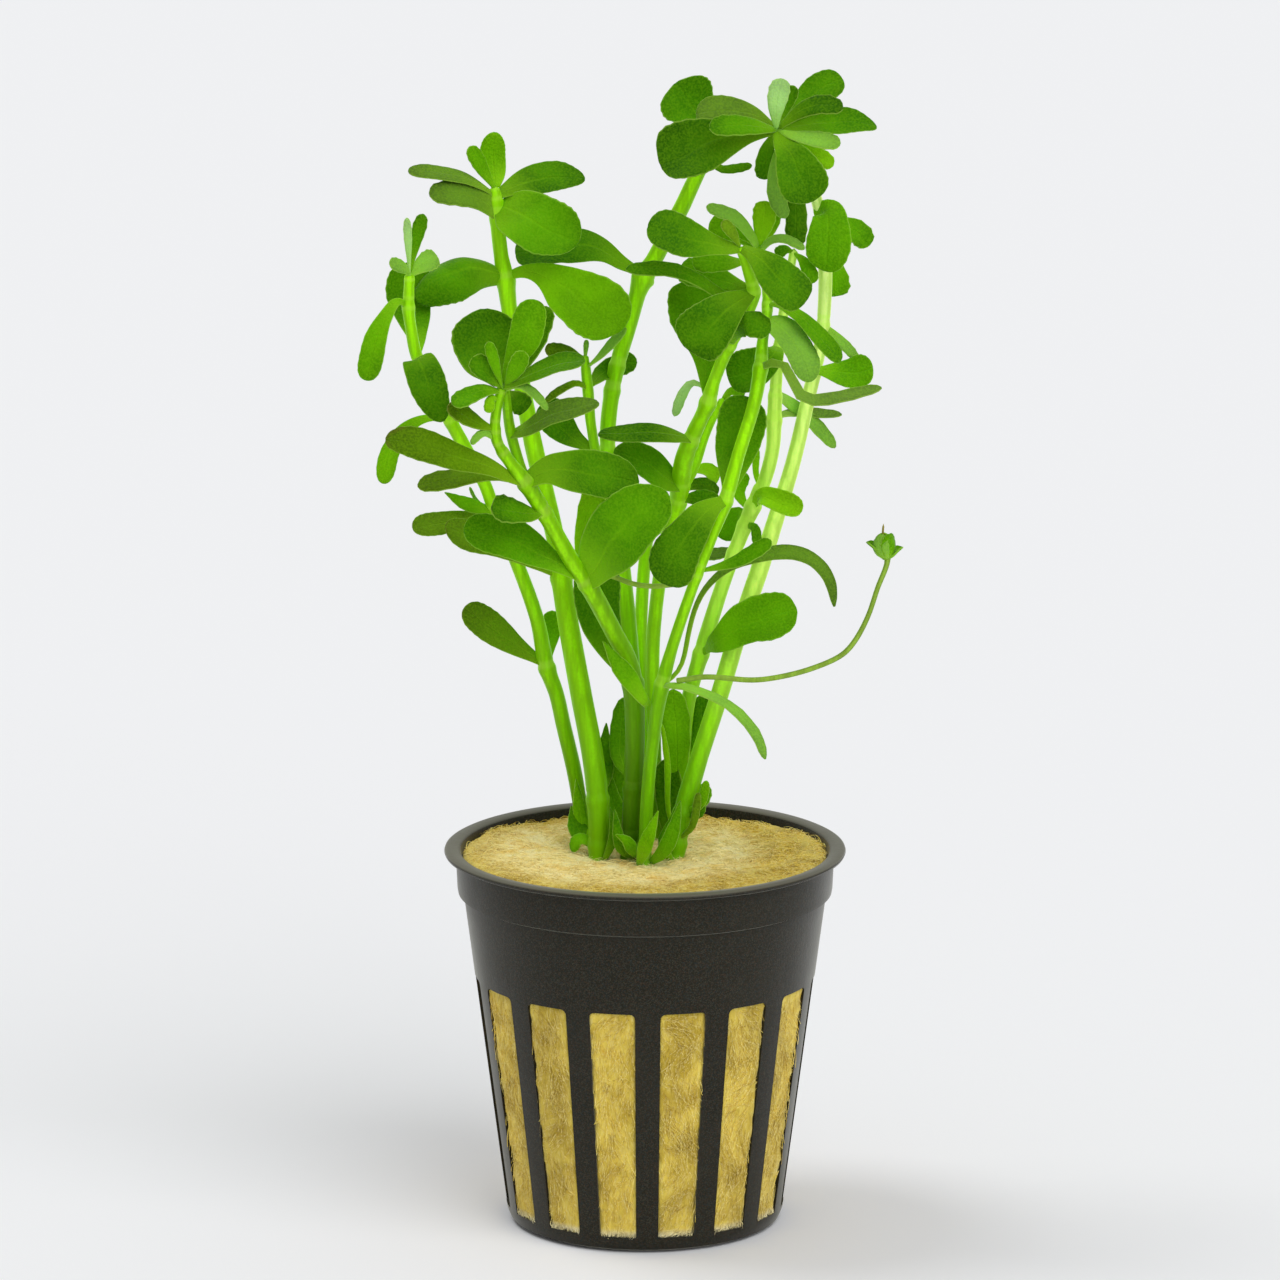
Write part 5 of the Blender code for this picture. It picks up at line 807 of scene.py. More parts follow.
def leaf_look(name, base, tip, tip_share):
    """Soft-skinned and finely grained, paler along the midrib and at the foot, with a painted highlight on
    the rim and painted shade towards the tip and the edges.
    """
    look = Look(name, 0.5, Subsurface_Weight=0.1, Subsurface_Scale=0.0005, Specular_IOR_Level=0.03,
                Sheen_Weight=0.3, Sheen_Roughness=0.3, Sheen_Tint=(0.8, 1.0, 0.5, 1.0),
                Subsurface_Radius=(0.5, 1.0, 0.05))
    place = look.coordinates()
    along, across, _ = look.parts(look.coordinates("UV"))
    off_middle = abs(across - 0.5)
    slow = look.noise(place, 150.0, 2.0, 0.4).ramp(0.34, 0.66)
    grain = look.noise(place, 3600.0, 3.0).ramp(0.35, 0.65)
    cells = look.noise(place, 2300.0, 2.0).ramp(0.42, 0.72)
    light, dark = blended(base, (0.34, 0.80, 0.0), 0.1), darker(base, 0.55)
    green = look.mix(darker(base, 0.8), light, slow)
    green = look.mix(green, dark, cells * 0.11)
    # Painted shade: darker towards the tip and the edges
    green = look.mix(green, dark, (along + off_middle * 0.8).ramp(0.55, 1.2) * 0.6)
    green = look.mix(green, blended(base, (0.5, 0.9, 0.02), 0.22), grain * 0.4)
    rib = off_middle.ramp(0.06, 0.0) * along.ramp(0.75, 0.1)
    green = look.mix(green, blended(base, (0.4, 0.85, 0.01), 0.4), rib * 0.45)
    green = look.mix(green, blended(base, (0.45, 0.85, 0.02), 0.5), along.ramp(0.4, 0.02) * 0.6)
    # Painted highlight: a pale line along the rim, where the edge catches light
    green = look.mix(green, blended(base, (0.6, 0.88, 0.12), 0.55), off_middle.ramp(0.466, 0.492) * 0.5)
    ragged = look.noise(place, 500.0, 3.0) * 0.5 + along
    withered = (ragged + off_middle * 0.3).ramp(1.35 - tip_share, 1.5 - tip_share)
    green = look.mix(green, tip, withered * 0.6)
    look.set("Base Color", green)
    look.set("Roughness", 0.4 + grain * 0.2)
    relief = look.bump(look.noise(place, 420.0, 3.0), 0.5, 0.0005)
    relief = look.bump(grain, 0.4, 0.00009, relief)
    look.set("Normal", look.bump(off_middle.ramp(0.0, 0.05), 0.4, 0.0002, relief))
    return look.material


def stem_look(name, top, base, middle, foot, sheen, through):
    """Fleshy and glossy, with pale and dark bands along it and darker joints, in four tones from its foot
    to its top. Painted shade darkens its furrows and its foot at the wool, and partly makes its bands.
    Through is the strength of a painted glow that stands in for light coming through it."""
    look = Look(name, 0.35, Subsurface_Weight=0.15, Subsurface_Scale=0.0008, Specular_IOR_Level=0.2,
                Specular_Tint=(1.0, 1.0, 0.4, 1.0), Sheen_Weight=sheen, Sheen_Roughness=0.25,
                Sheen_Tint=(0.8, 1.0, 0.12, 1.0), Subsurface_Radius=(0.6, 1.0, 0.05))
    place = look.coordinates()
    height = look.parts(place)[2]
    rise = {part: height.ramp(*ends) for part, ends in STEM_RISES.items()}
    joint = look.node("ShaderNodeAttribute", {"attribute_name": "joint"}, {}, "Fac")
    furrow = look.node("ShaderNodeAttribute", {"attribute_name": "furrow"}, {}, "Fac")
    bands = look.noise(look.stretched(place, (800.0, 800.0, 26.0)), 1.0, 2.0).ramp(0.42, 0.60)
    streaks = look.noise(look.stretched(place, (2200.0, 2200.0, 120.0)), 1.0, 4.0).ramp(0.4, 0.65)
    patches = look.noise(place, 170.0, 2.0).ramp(0.35, 0.65)
    grain = look.noise(place, 3000.0, 2.0).ramp(0.3, 0.7)
    shaded = look.mix(foot, base, rise["shade"])
    # Painted shade: darker at the very foot, where it rises from the wool
    green = look.mix(darker(foot, 0.72), foot, rise["foot"])
    for tone, part in ((middle, "middle"), (base, "base"), (top, "top")):
        green = look.mix(green, tone, rise[part])
    green = look.mix(green, shaded, patches * 0.3)
    shadow = look.mix(shaded, darker(middle, 0.35), 0.75)
    # Painted shade: the furrows and, in part, the bands darken it towards shadow, as do the fine streaks
    # and grain of its skin
    for share in (furrow.ramp(0.2, 0.9) * 0.6, bands * 0.42, streaks * 0.25, grain * 0.15):
        green = look.mix(green, shadow, share)
    green = look.mix(green, darker(foot, 0.5), joint.ramp(0.62, 0.95) * 0.6)
    pale_ring = joint.ramp(0.3, 0.45) * joint.ramp(0.62, 0.5)
    green = look.mix(green, blended(foot, (0.6, 0.9, 0.1), 0.6), pale_ring * 0.4)
    look.set("Base Color", green)
    # A painted glow, rising from just above the wool and as strong as through, stands in for light coming
    # through the stem
    look.set("Emission Color", look.mix((0.0, 0.0, 0.0), green, rise["glow"]))
    look.set("Emission Strength", through)
    look.set("Roughness", 0.3 + streaks * 0.15)
    relief = look.bump(streaks, 0.25, 0.0001)
    look.set("Normal", look.bump(grain, 0.15, 0.00006, relief))
    return look.material


def plastic_look(base, dust_and_sheen):
    """Moulded black plastic with a fine grain and a pale dusty film, with a painted highlight in the
    film's tint on the lip's top.
    """
    look = Look("black_plastic_moulded", 0.5, Specular_IOR_Level=0.14, Specular_Tint=(1.0, 0.95, 0.6, 1.0),
                Sheen_Weight=0.34, Sheen_Roughness=0.3, Sheen_Tint=(1.0, 1.0, 0.85, 1.0),
                Coat_Weight=0.5, Coat_Roughness=0.3, Coat_IOR=1.3)
    place = look.coordinates()
    height = look.parts(place)[2]
    grain = look.noise(place, 2600.0, 2.0)
    specks = look.parts(look.node("ShaderNodeTexVoronoi", {}, {"Vector": place, "Scale": 8200.0}, "Color"))
    haze = look.noise(place, 70.0, 3.0).ramp(0.35, 0.75)
    tint = look.mix(base, blended(base, dust_and_sheen, 0.05), haze)
    tint = look.mix(tint, blended(base, dust_and_sheen, 0.22), specks[0].ramp(0.55, 1.0) * 0.7)
    tint = look.mix(tint, (0.010, 0.022, 0.030), specks[1].ramp(0.6, 1.0) * 0.6)
    tint = look.mix(tint, (0.040, 0.018, 0.010), specks[2].ramp(0.6, 1.0) * 0.6)
    # Painted highlight: the lip's top is paler, mixed towards the pale dusty tint
    on_lip = height.ramp((RIM_HEIGHT - 0.4) * MM, (RIM_HEIGHT - 0.1) * MM)
    tint = look.mix(tint, blended(base, dust_and_sheen, 0.6), on_lip)
    look.set("Base Color", tint)
    look.set("Roughness", 0.42 + haze * 0.2)
    relief = look.bump(grain, 0.3, 0.0001)
    look.set("Normal", look.bump(look.noise(place, 500.0, 2.0), 0.25, 0.0002, relief))
    return look.material


def wool_look(name, light, dark, fibre):
    """Matted mineral wool: straw with ochre patches, paler on its top and along the slots' foot, with
    painted light in the middle of its top against the plant's shade. A fibre varies more than the mat."""
    look = Look(name, 0.9, Sheen_Weight=0.18, Sheen_Roughness=0.6, Specular_IOR_Level=0.1)
    place = look.coordinates()
    east, north, height = look.parts(place)
    aside = east + PALE_SHIFT
    rim = (aside * aside + north * north).ramp(*PALE_ENDS)
    on_top = height.ramp((WOOL_TOP - 4.2) * MM, (WOOL_TOP - 1.0) * MM)
    at_foot = height.ramp((SLOT_BOTTOM + 1.2) * MM, (SLOT_BOTTOM + 0.2) * MM)
    patches = look.noise(place, 260.0, 4.0, 0.5).ramp(0.40, 0.66)
    broad = look.noise(look.stretched(place, (1.0, 1.0, 0.6)), 110.0, 2.0).ramp(0.45, 0.65)
    tint = look.mix(light, dark, patches * 0.6)
    tint = look.mix(tint, darker(dark, 0.75), broad * 0.4)
    tufts = look.noise(place, 420.0, 4.0).ramp(0.46, 0.74)
    # Painted light: palest in the middle of the top, against the plant's shade; darker and ochre towards
    # the edge
    pale = look.mix((1.0, 0.87, 0.42), (0.98, 0.76, 0.25), tufts)
    pale = look.mix(pale, look.mix((0.76, 0.57, 0.07), (0.50, 0.34, 0.02), tufts), rim)
    tint = look.mix(tint, pale, on_top)
    tint = look.mix(tint, (0.95, 0.92, 0.70), at_foot * 0.7)
    if fibre:
        deep = look.noise(place, 1500.0, 3.0).ramp(0.5, 0.66)
        fine = look.noise(place, 3200.0, 3.0).ramp(0.4, 0.64)
        tint = look.mix(tint, darker(dark, 0.8), deep * 0.3)
        tint = look.mix(tint, (1.0, 0.88, 0.40), fine * 0.62)
    else:
        strands = look.noise(look.stretched(place, (2600.0, 2600.0, 700.0)), 1.0, 3.0, 1.0)
        tint = look.mix(tint, darker(dark, 0.7), strands.ramp(0.5, 0.75) * 0.5)
        tint = look.mix(tint, (0.88, 0.76, 0.30), strands.ramp(0.5, 0.3) * 0.4)
        look.set("Normal", look.bump(strands, 0.7, 0.0003))
    look.set("Base Color", tint)
    return look.material


# Places and smooth paths

def seen(across, up, depth):
    """The point in millimetres that shows at across and up, and lies depth behind the pot's axis."""
    on_plane = RIM_CENTRE + Vector((across, 0.0, 0.0)) + EYE_UPWARD * up
    ray = on_plane - EYE
    return EYE + ray * ((depth - EYE.y) / ray.y)


def span_at(marks, where):
    """The number of the span between marks that a place lies in, and how far along it, from 0 to 1."""
    i = 0
    while i < len(marks) - 2 and where > marks[i + 1]:
        i += 1
    return i, (where - marks[i]) / (marks[i + 1] - marks[i])


def smooth(marks, values, where):
    """The value or point at a place on the smooth line that has these values at its marks."""
    i, t = span_at(marks, where)
    span = marks[i + 1] - marks[i]

    def slope(at):
        before, after = max(at - 1, 0), min(at + 1, len(marks) - 1)
        return (values[after] - values[before]) / (marks[after] - marks[before])

    return (
        values[i] * (2 * t**3 - 3 * t**2 + 1) + slope(i) * (span * (t**3 - 2 * t**2 + t))
        + values[i + 1] * (3 * t**2 - 2 * t**3) + slope(i + 1) * (span * (t**3 - t**2))
    )


class Path:
    """A smooth curve through points, measured along its length, with one more value at each point."""

    def __init__(self, points, values):
        self.points = points
        self.values = values
        self.marks = [0.0]
        for start, end in zip(points, points[1:]):
            self.marks.append(self.marks[-1] + (end - start).length)
        self.length = self.marks[-1]

    def at(self, distance):
        """The point at a distance along it, and the value there."""
        i, t = span_at(self.marks, distance)
        value = self.values[i] + (self.values[i + 1] - self.values[i]) * t
        return smooth(self.marks, self.points, distance), value

    def spaced(self, spacing):
        """Points and values about every spacing."""
        steps = max(2, round(self.length / spacing))
        return [self.at(self.length * step / steps) for step in range(steps + 1)]


def path_through(rows):
    """The path of a stem's rows of (across, up, back, width)."""
    points = [seen(across, up, back * STEM_DEPTH) for across, up, back, _ in rows]
    return Path(points, [width for *_, width in rows])


def midrib_path(rows):
    """The path of a leaf's rows of (across, up, back), the first of which is on its stem."""
    foot = rows[0][2]
    depths = [foot * STEM_DEPTH + (back - foot) * LEAF_DEPTH for *_, back in rows]
    points = [seen(across, up, depth) for (across, up, _), depth in zip(rows, depths)]
    return Path(points, [0.0] * len(points))


# Modelling by hand

def select_only(*objects):
    bpy.ops.object.select_all(action="DESELECT")
    for obj in objects:
        obj.select_set(True)
    bpy.context.view_layer.objects.active = objects[0]


def start_new(name):
    """Takes what was just added as the piece being modelled."""
    obj = bpy.context.object
    obj.name = name
    obj.data.name = name
    return obj


def pick(obj, test):
    """In edit mode, selects the vertices whose place passes the test, and the faces between them."""
    bpy.ops.mesh.select_all(action="DESELECT")
    shape = bmesh.from_edit_mesh(obj.data)
    for vertex in shape.verts:
        vertex.select = test(vertex.co)
    shape.select_flush_mode()
    bmesh.update_edit_mesh(obj.data)


def apply_all(obj):
    select_only(obj)
    for modifier in list(obj.modifiers):
        bpy.ops.object.modifier_apply(modifier=modifier.name)


def own_copy(obj, name):
    """A copy with its own mesh."""
    made = obj.copy()
    made.data = obj.data.copy()
    made.name = name
    made.data.name = name
    bpy.context.scene.collection.objects.link(made)
    return made


def discard(*objects):
    for obj in objects:
        bpy.data.objects.remove(obj, do_unlink=True)


def joined(name, objects):
    """One piece made of several, named."""
    select_only(*objects)
    if len(objects) > 1:
        bpy.ops.object.join()
    return start_new(name)


def turned(name, profile, segments):
    """A closed solid turned from a profile of (radius, height): a ring extruded from point to point."""
    radius, height = profile[0]
    bpy.ops.mesh.primitive_circle_add(vertices=segments, radius=radius * MM, location=(0, 0, height * MM))
    obj = start_new(name)
    bpy.ops.object.transform_apply()
    bpy.ops.object.mode_set(mode="EDIT")
    bpy.ops.mesh.select_all(action="SELECT")
    for (r0, h0), (r1, h1) in zip(profile, profile[1:]):
        bpy.ops.mesh.extrude_region_move(TRANSFORM_OT_translate={"value": (0, 0, (h1 - h0) * MM)})
        bpy.ops.transform.resize(value=(r1 / r0, r1 / r0, 1), center_override=(0, 0, h1 * MM))
    bpy.ops.mesh.edge_face_add()
    pick(obj, lambda co: abs(co.z - height * MM) < SAME_PLACE
         and abs(co.xy.length - radius * MM) < SAME_PLACE)
    bpy.ops.mesh.edge_face_add()
    bpy.ops.mesh.select_all(action="SELECT")
    bpy.ops.mesh.normals_make_consistent(inside=False)
    bpy.ops.object.mode_set(mode="OBJECT")
    return obj


def standing_block(name, half_low, half_high, heights, radii, lean, corner=0.0):
    """A block that stands radially across -Y and leans outwards from its bottom to its top, with the
    corners at its top rounded."""
    (low, high), (inner, outer) = heights, radii
    bpy.ops.mesh.primitive_cube_add(
        size=1, location=(0, -(inner + outer) / 2 * MM, (low + high) / 2 * MM),
        scale=(2 * half_low * MM, (outer - inner) * MM, (high - low) * MM),
    )
    obj = start_new(name)
    bpy.ops.object.transform_apply()
    bpy.ops.object.mode_set(mode="EDIT")
    pick(obj, lambda co: co.z > (low + high) / 2 * MM)
    bpy.ops.transform.resize(value=(half_high / half_low, 1, 1), center_override=(0, 0, 0))
    bpy.ops.transform.translate(value=(0, -lean * MM, 0))
    if corner:
        bpy.ops.mesh.select_mode(type="EDGE")
        bpy.ops.mesh.select_all(action="DESELECT")
        shape = bmesh.from_edit_mesh(obj.data)
        for edge in shape.edges:
            start, end = (vertex.co for vertex in edge.verts)
            level = min(start.z, end.z) > (low + high) / 2 * MM
            edge.select = level and abs(start.y - end.y) > (outer - inner) / 2 * MM
        bmesh.update_edit_mesh(obj.data)
        bpy.ops.mesh.bevel(offset=corner * MM, segments=4, affect="EDGES")
        bpy.ops.mesh.select_mode(type="VERT")
    bpy.ops.object.mode_set(mode="OBJECT")
    return obj


def copied_round(obj, count, first):
    """Copies turned about the pot's axis, joined to one piece, the first of them turned by first."""
    copies = []
    for number in range(count):
        made = own_copy(obj, f"{obj.name}_{number}")
        made.rotation_euler.z = first + 2 * math.pi * number / count
        copies.append(made)
    select_only(*copies)
    bpy.ops.object.transform_apply()
    name = obj.name
    discard(obj)
    return joined(name, copies)


def guide_curve(name, stations, axes=Matrix.Identity(4)):
    """A curve through (point in millimetres, radius in metres, tilt) stations, laid in the given axes."""
    bpy.ops.curve.primitive_bezier_curve_add()
    obj = start_new(name)
    obj.data.splines.clear()
    spline = obj.data.splines.new("POLY")
    spline.points.add(len(stations) - 1)
    turned_back = axes.inverted()
    for control, (point, radius, tilt) in zip(spline.points, stations):
        control.co = (*(turned_back @ (point * MM)), 1.0)
        control.radius = radius
        control.tilt = tilt
    return obj


# Pot

def body_radius(height):
    """The outer radius of the tapering body."""
    rise = (height - BASE_EDGE_RADIUS) / (RIM_HEIGHT - COLLAR_DEPTH - BASE_EDGE_RADIUS)
    return BODY_BASE_RADIUS + (BODY_TOP_RADIUS - BODY_BASE_RADIUS) * rise


def pot_profile():
    """From the underside up the outside, over the lip and down the inside to the floor."""
    collar_bottom = RIM_HEIGHT - COLLAR_DEPTH
    under_lip = RIM_HEIGHT - LIP_THICKNESS
    edge = LIP_THICKNESS / 2
    collar_inside = COLLAR_RADIUS - WALL
    return [
        (BODY_BASE_RADIUS - BASE_EDGE_RADIUS, 0.0),
        (BODY_BASE_RADIUS - 0.45, 0.5),
        (body_radius(BASE_EDGE_RADIUS), BASE_EDGE_RADIUS),
        (body_radius(collar_bottom - 0.5), collar_bottom - 0.3),
        (COLLAR_RADIUS - 0.3, collar_bottom),
        (COLLAR_RADIUS - 0.2, collar_bottom + 0.6),
        (COLLAR_RADIUS, under_lip - 0.15),
        (COLLAR_RADIUS + 0.2, under_lip),
        (RIM_RADIUS - edge, under_lip),
        (RIM_RADIUS - 0.1, under_lip + 0.15),
        (RIM_RADIUS, RIM_HEIGHT - edge),
        (RIM_RADIUS - 0.1, RIM_HEIGHT - 0.15),
        (RIM_RADIUS - edge, RIM_HEIGHT),
        (collar_inside + 0.5, RIM_HEIGHT - 0.12),
        (collar_inside + 0.2, RIM_HEIGHT - 0.3),
        (collar_inside, RIM_HEIGHT - 0.8),
        (body_radius(collar_bottom - 1.0) - WALL, collar_bottom - 1.0),
        (body_radius(FLOOR + 0.8) - WALL, FLOOR + 0.8),
        (body_radius(FLOOR) - WALL - 0.6, FLOOR),
    ]


def slot_cutter():
    lean = body_radius(SLOT_TOP) - body_radius(SLOT_BOTTOM)
    block = standing_block(
        "pot_slots", SLOT_WIDTH_BOTTOM / 2, SLOT_WIDTH_TOP / 2, (SLOT_BOTTOM, SLOT_TOP),
        (BODY_BASE_RADIUS - CUT_INWARD, BODY_BASE_RADIUS + CUT_OUTWARD), lean, SLOT_CORNER,
    )
    return copied_round(block, SLOTS, math.pi / SLOTS + SLOT_TURN)


def floor_cutter():
    half = FLOOR_SLOT_WIDTH / 2
    block = standing_block(
        "floor_slots", half, half, (-1.0, FLOOR + 1.0), (FLOOR_SLOT_INNER, FLOOR_SLOT_OUTER), 0.0
    )
    return copied_round(block, FLOOR_SLOTS, 0.0)


class MONEYWORT_OT_net_pot(bpy.types.Operator):
    """Model the slotted net pot"""

    bl_idname = "moneywort.net_pot"
    bl_label = "Net pot"

    def execute(self, context):
        sizes, colours = context.scene.moneywort_sizes, context.scene.moneywort_colours
        pot = turned("net_pot", pot_profile(), sizes.pot_segments)
        for cutter in (slot_cutter(), floor_cutter()):
            cut = pot.modifiers.new("slots", "BOOLEAN")
            cut.operation = "DIFFERENCE"
            cut.object = cutter
            apply_all(pot)
            discard(cutter)
        select_only(pot)
        bpy.ops.object.shade_smooth_by_angle(angle=SMOOTH_ANGLE)
        pot.data.materials.append(plastic_look(tuple(colours.plastic), tuple(colours.dust_and_sheen)))
        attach(pot, "root")
        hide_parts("pot")
        return {"FINISHED"}


# Rockwool

def wool_profile():
    """From the middle of the bottom up the side to the middle of the top."""
    inner_wall = WALL + WOOL_GAP
    shoulder = RIM_HEIGHT - COLLAR_DEPTH
    return [
        (0.5, FLOOR + WOOL_GAP),
        (body_radius(FLOOR) - inner_wall - 1.3, FLOOR + WOOL_GAP),
        (body_radius(FLOOR + 1.6) - inner_wall, FLOOR + 1.6),
        (body_radius(shoulder - 1.2) - inner_wall, shoulder - 1.2),
        (WOOL_EDGE_RADIUS, shoulder + 1.2),
        (WOOL_EDGE_RADIUS, WOOL_TOP - 0.5),
        (WOOL_EDGE_RADIUS - 0.7, WOOL_TOP),
        (17.0, WOOL_TOP - 0.1),
        (0.5, WOOL_TOP - WOOL_SAG),
    ]


def pad_surface(height, slot):
    """The radius of the wool's face in a slot, deeper in the two where the wool has sunk."""
    return body_radius(height) - PAD_RECESS - (SUNK_DEPTH if slot in SUNK_SLOTS else 0.0)


def slot_axes(slot):
    """The ways outward through a slot and across it."""
    turn = Matrix.Rotation(2 * math.pi * (slot + 0.5) / SLOTS + SLOT_TURN, 3, "Z")
    return turn @ Vector((0, -1, 0)), turn @ Vector((1, 0, 0))


def rough(obj, depth, size, fineness):
    """Displaces a surface by soft noise, and returns the modifier."""
    cloud = bpy.data.textures.new(obj.name + "_dents", "CLOUDS")
    cloud.noise_scale = size
    cloud.noise_depth = fineness
    uneven = obj.modifiers.new("uneven", "DISPLACE")
    uneven.texture = cloud
    uneven.strength = depth
    return uneven


class MONEYWORT_OT_rockwool(bpy.types.Operator):
    """Model the plug of rockwool, with a pad standing in each slot of the pot"""

    bl_idname = "moneywort.rockwool"
    bl_label = "Rockwool plug"

    def execute(self, context):
        colours = context.scene.moneywort_colours
        plug = turned("rockwool_plug", wool_profile(), PLUG_SEGMENTS)
        low, high = body_radius(SLOT_BOTTOM), body_radius(SLOT_TOP)
        pads = standing_block(
            "wool_pads", SLOT_WIDTH_BOTTOM / 2 + PAD_OVERLAP, SLOT_WIDTH_TOP / 2 + PAD_OVERLAP,
            (SLOT_BOTTOM - PAD_OVERLAP, SLOT_TOP + PAD_OVERLAP),
            (low - WALL - PAD_ROOT, low - PAD_RECESS), high - low,
        )
        self.sink_back(plug)
        plug = joined("rockwool_plug", [plug, copied_round(pads, SLOTS, math.pi / SLOTS + SLOT_TURN)])
        self.sink_pads(plug)
        remesh = plug.modifiers.new("remesh", "REMESH")
        remesh.mode = "VOXEL"
        remesh.voxel_size = WOOL_GRAIN * MM
        for depth, size, fineness in WOOL_DENTS:
            rough(plug, depth, size, fineness)
        apply_all(plug)
        bpy.ops.object.shade_smooth()
        light, dark = tuple(colours.wool_light), tuple(colours.wool_dark)
        plug.data.materials.append(wool_look("matted_rockwool", light, dark, False))
        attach(plug, "root")
        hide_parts("rockwool")
        return {"FINISHED"}

    def sink_pads(self, plug):
        """Moves the pads of the sunk slots towards the middle of the pot."""
        select_only(plug)
        bpy.ops.object.mode_set(mode="EDIT")
        for slot in SUNK_SLOTS:
            outward, aside = slot_axes(slot)
            pick(plug, lambda co: co.dot(outward) > BODY_BASE_RADIUS * 0.6 * MM
                 and abs(co.dot(aside)) < SLOT_WIDTH_TOP * 0.7 * MM and co.z < (SLOT_TOP + 1.0) * MM)
            bpy.ops.transform.translate(value=outward * -SUNK_DEPTH * MM)
        bpy.ops.object.mode_set(mode="OBJECT")

    def sink_back(self, plug):
        """Lowers the wool's top along the back of the pot, where it lies below the lip."""
        select_only(plug)
        bpy.ops.object.mode_set(mode="EDIT")
        for spread in SUNK_BACK_SPREADS:
            behind = SUNK_BACK_RADIUS * MM * math.cos(math.radians(spread))
            pick(plug, lambda co: co.z > (WOOL_TOP - 0.7) * MM and co.y > behind
                 and co.xy.length > SUNK_BACK_RADIUS * MM)
            bpy.ops.transform.translate(value=(0, 0, -SUNK_BACK / len(SUNK_BACK_SPREADS) * MM))
        bpy.ops.object.mode_set(mode="OBJECT")


def fibre_curve(name, fibres, width):
    """Flat ribbons along fibres of (points in metres, tilt), as one mesh."""
    bpy.ops.curve.primitive_bezier_curve_add()
    obj = start_new(name)
    data = obj.data
    data.splines.clear()
    data.extrude = width / 2
    for points, tilt in fibres:
        spline = data.splines.new("POLY")
        spline.points.add(len(points) - 1)
        flat = []
        for point in points:
            flat += [point.x, point.y, point.z, 1.0]
        spline.points.foreach_set("co", flat)
        spline.points.foreach_set("tilt", [tilt] * len(points))
    select_only(obj)
    bpy.ops.object.convert(target="MESH")
    return start_new(name)


def strand(dice, start, heading, normal, length, steps, curl, lift):
    """A fibre that starts at a point, rises from a surface with that normal and comes down again."""
    points = [start]
    turn = dice.gauss(0.0, curl)
    for step in range(steps):
        rise = lift * (1.0 - 2.0 * (step + 0.5) / steps)
        heading = (Matrix.Rotation(turn, 3, normal) @ heading).normalized()
        move = (heading + normal * rise).normalized() * (length / steps)
        points.append(points[-1] + move)
        turn += dice.gauss(0.0, curl * 0.5)
    return points, dice.uniform(0.0, math.pi)


def combed(place, turns, spread):
    """A heading in radians that changes softly from place to place, as matted wool lies."""
    return noise.noise(place / MM * turns) * spread


def top_strands(dice, plug, count):
    """Fibres lying on the wool's top."""
    fibres = []
    up = Vector((0, 0, 1))
    reach = (COLLAR_RADIUS - WALL - 0.3) * MM
    while len(fibres) < count:
        radius = reach * math.sqrt(dice.random())
        turn = dice.uniform(0.0, 2 * math.pi)
        place = Vector((radius * math.cos(turn), radius * math.sin(turn), 0.06))
        hit, point, _, _ = plug.ray_cast(place, -up)
        if not hit or point.z < (WOOL_TOP - 4.0) * MM:
            continue
        angle = combed(point, *TOP_COMB) + dice.gauss(0.0, 0.5)
        heading = Vector((math.cos(angle), math.sin(angle), 0.0))
        lift = dice.choice(TOP_LIFTS)
        length = dice.uniform(*TOP_LENGTHS) * MM
        start = point - up * 0.0001
        points, tilt = strand(dice, start, heading, up, length, TOP_STEPS, TOP_CURL, lift)
        if max(co.xy.length for co in points) < reach + 0.0002:
            fibres.append((points, tilt))
    return fibres


def slot_strands(dice, count):
    """Mostly upright fibres over the wool in each slot, and a frayed edge along its foot."""
    fibres = []
    for slot in range(SLOTS):
        out, side = slot_axes(slot)
        made = 0
        while made < count:
            frayed = made < count * FRAYED_SHARE
            height = dice.uniform(SLOT_BOTTOM + 0.1, SLOT_BOTTOM + 0.9 if frayed else SLOT_TOP - 0.1)
            share = (height - SLOT_BOTTOM) / (SLOT_TOP - SLOT_BOTTOM)
            half = (SLOT_WIDTH_BOTTOM + (SLOT_WIDTH_TOP - SLOT_WIDTH_BOTTOM) * share) / 2
            depth = pad_surface(height, slot) + dice.uniform(-0.15, 0.12)
            start = (side * dice.uniform(-half, half) + out * depth + Vector((0, 0, height))) * MM
            angle = combed(start, *SLOT_COMB) + dice.gauss(0.0, 0.3)
            upward = -1 if frayed else dice.choice((-1, 1))
            heading = (Vector((0, 0, 1)) * math.cos(angle) + side * math.sin(angle)) * upward
            length = dice.uniform(*(FRAYED_LENGTHS if frayed else SLOT_LENGTHS))
            lift = dice.uniform(*FRAYED_LIFTS) if frayed else dice.choice(SLOT_LIFTS)
            points, tilt = strand(dice, start, heading, out, length * MM, SLOT_STEPS, SLOT_CURL, lift)
            lowest = SLOT_BOTTOM - (FRAYED_HANG if frayed else 0.0)
            ends = [(point.dot(side) / MM, point.z / MM) for point in points]
            if all(abs(x) < half + 0.02 and lowest < z < SLOT_TOP for x, z in ends):
                fibres.append((points, tilt))
                made += 1
    return fibres


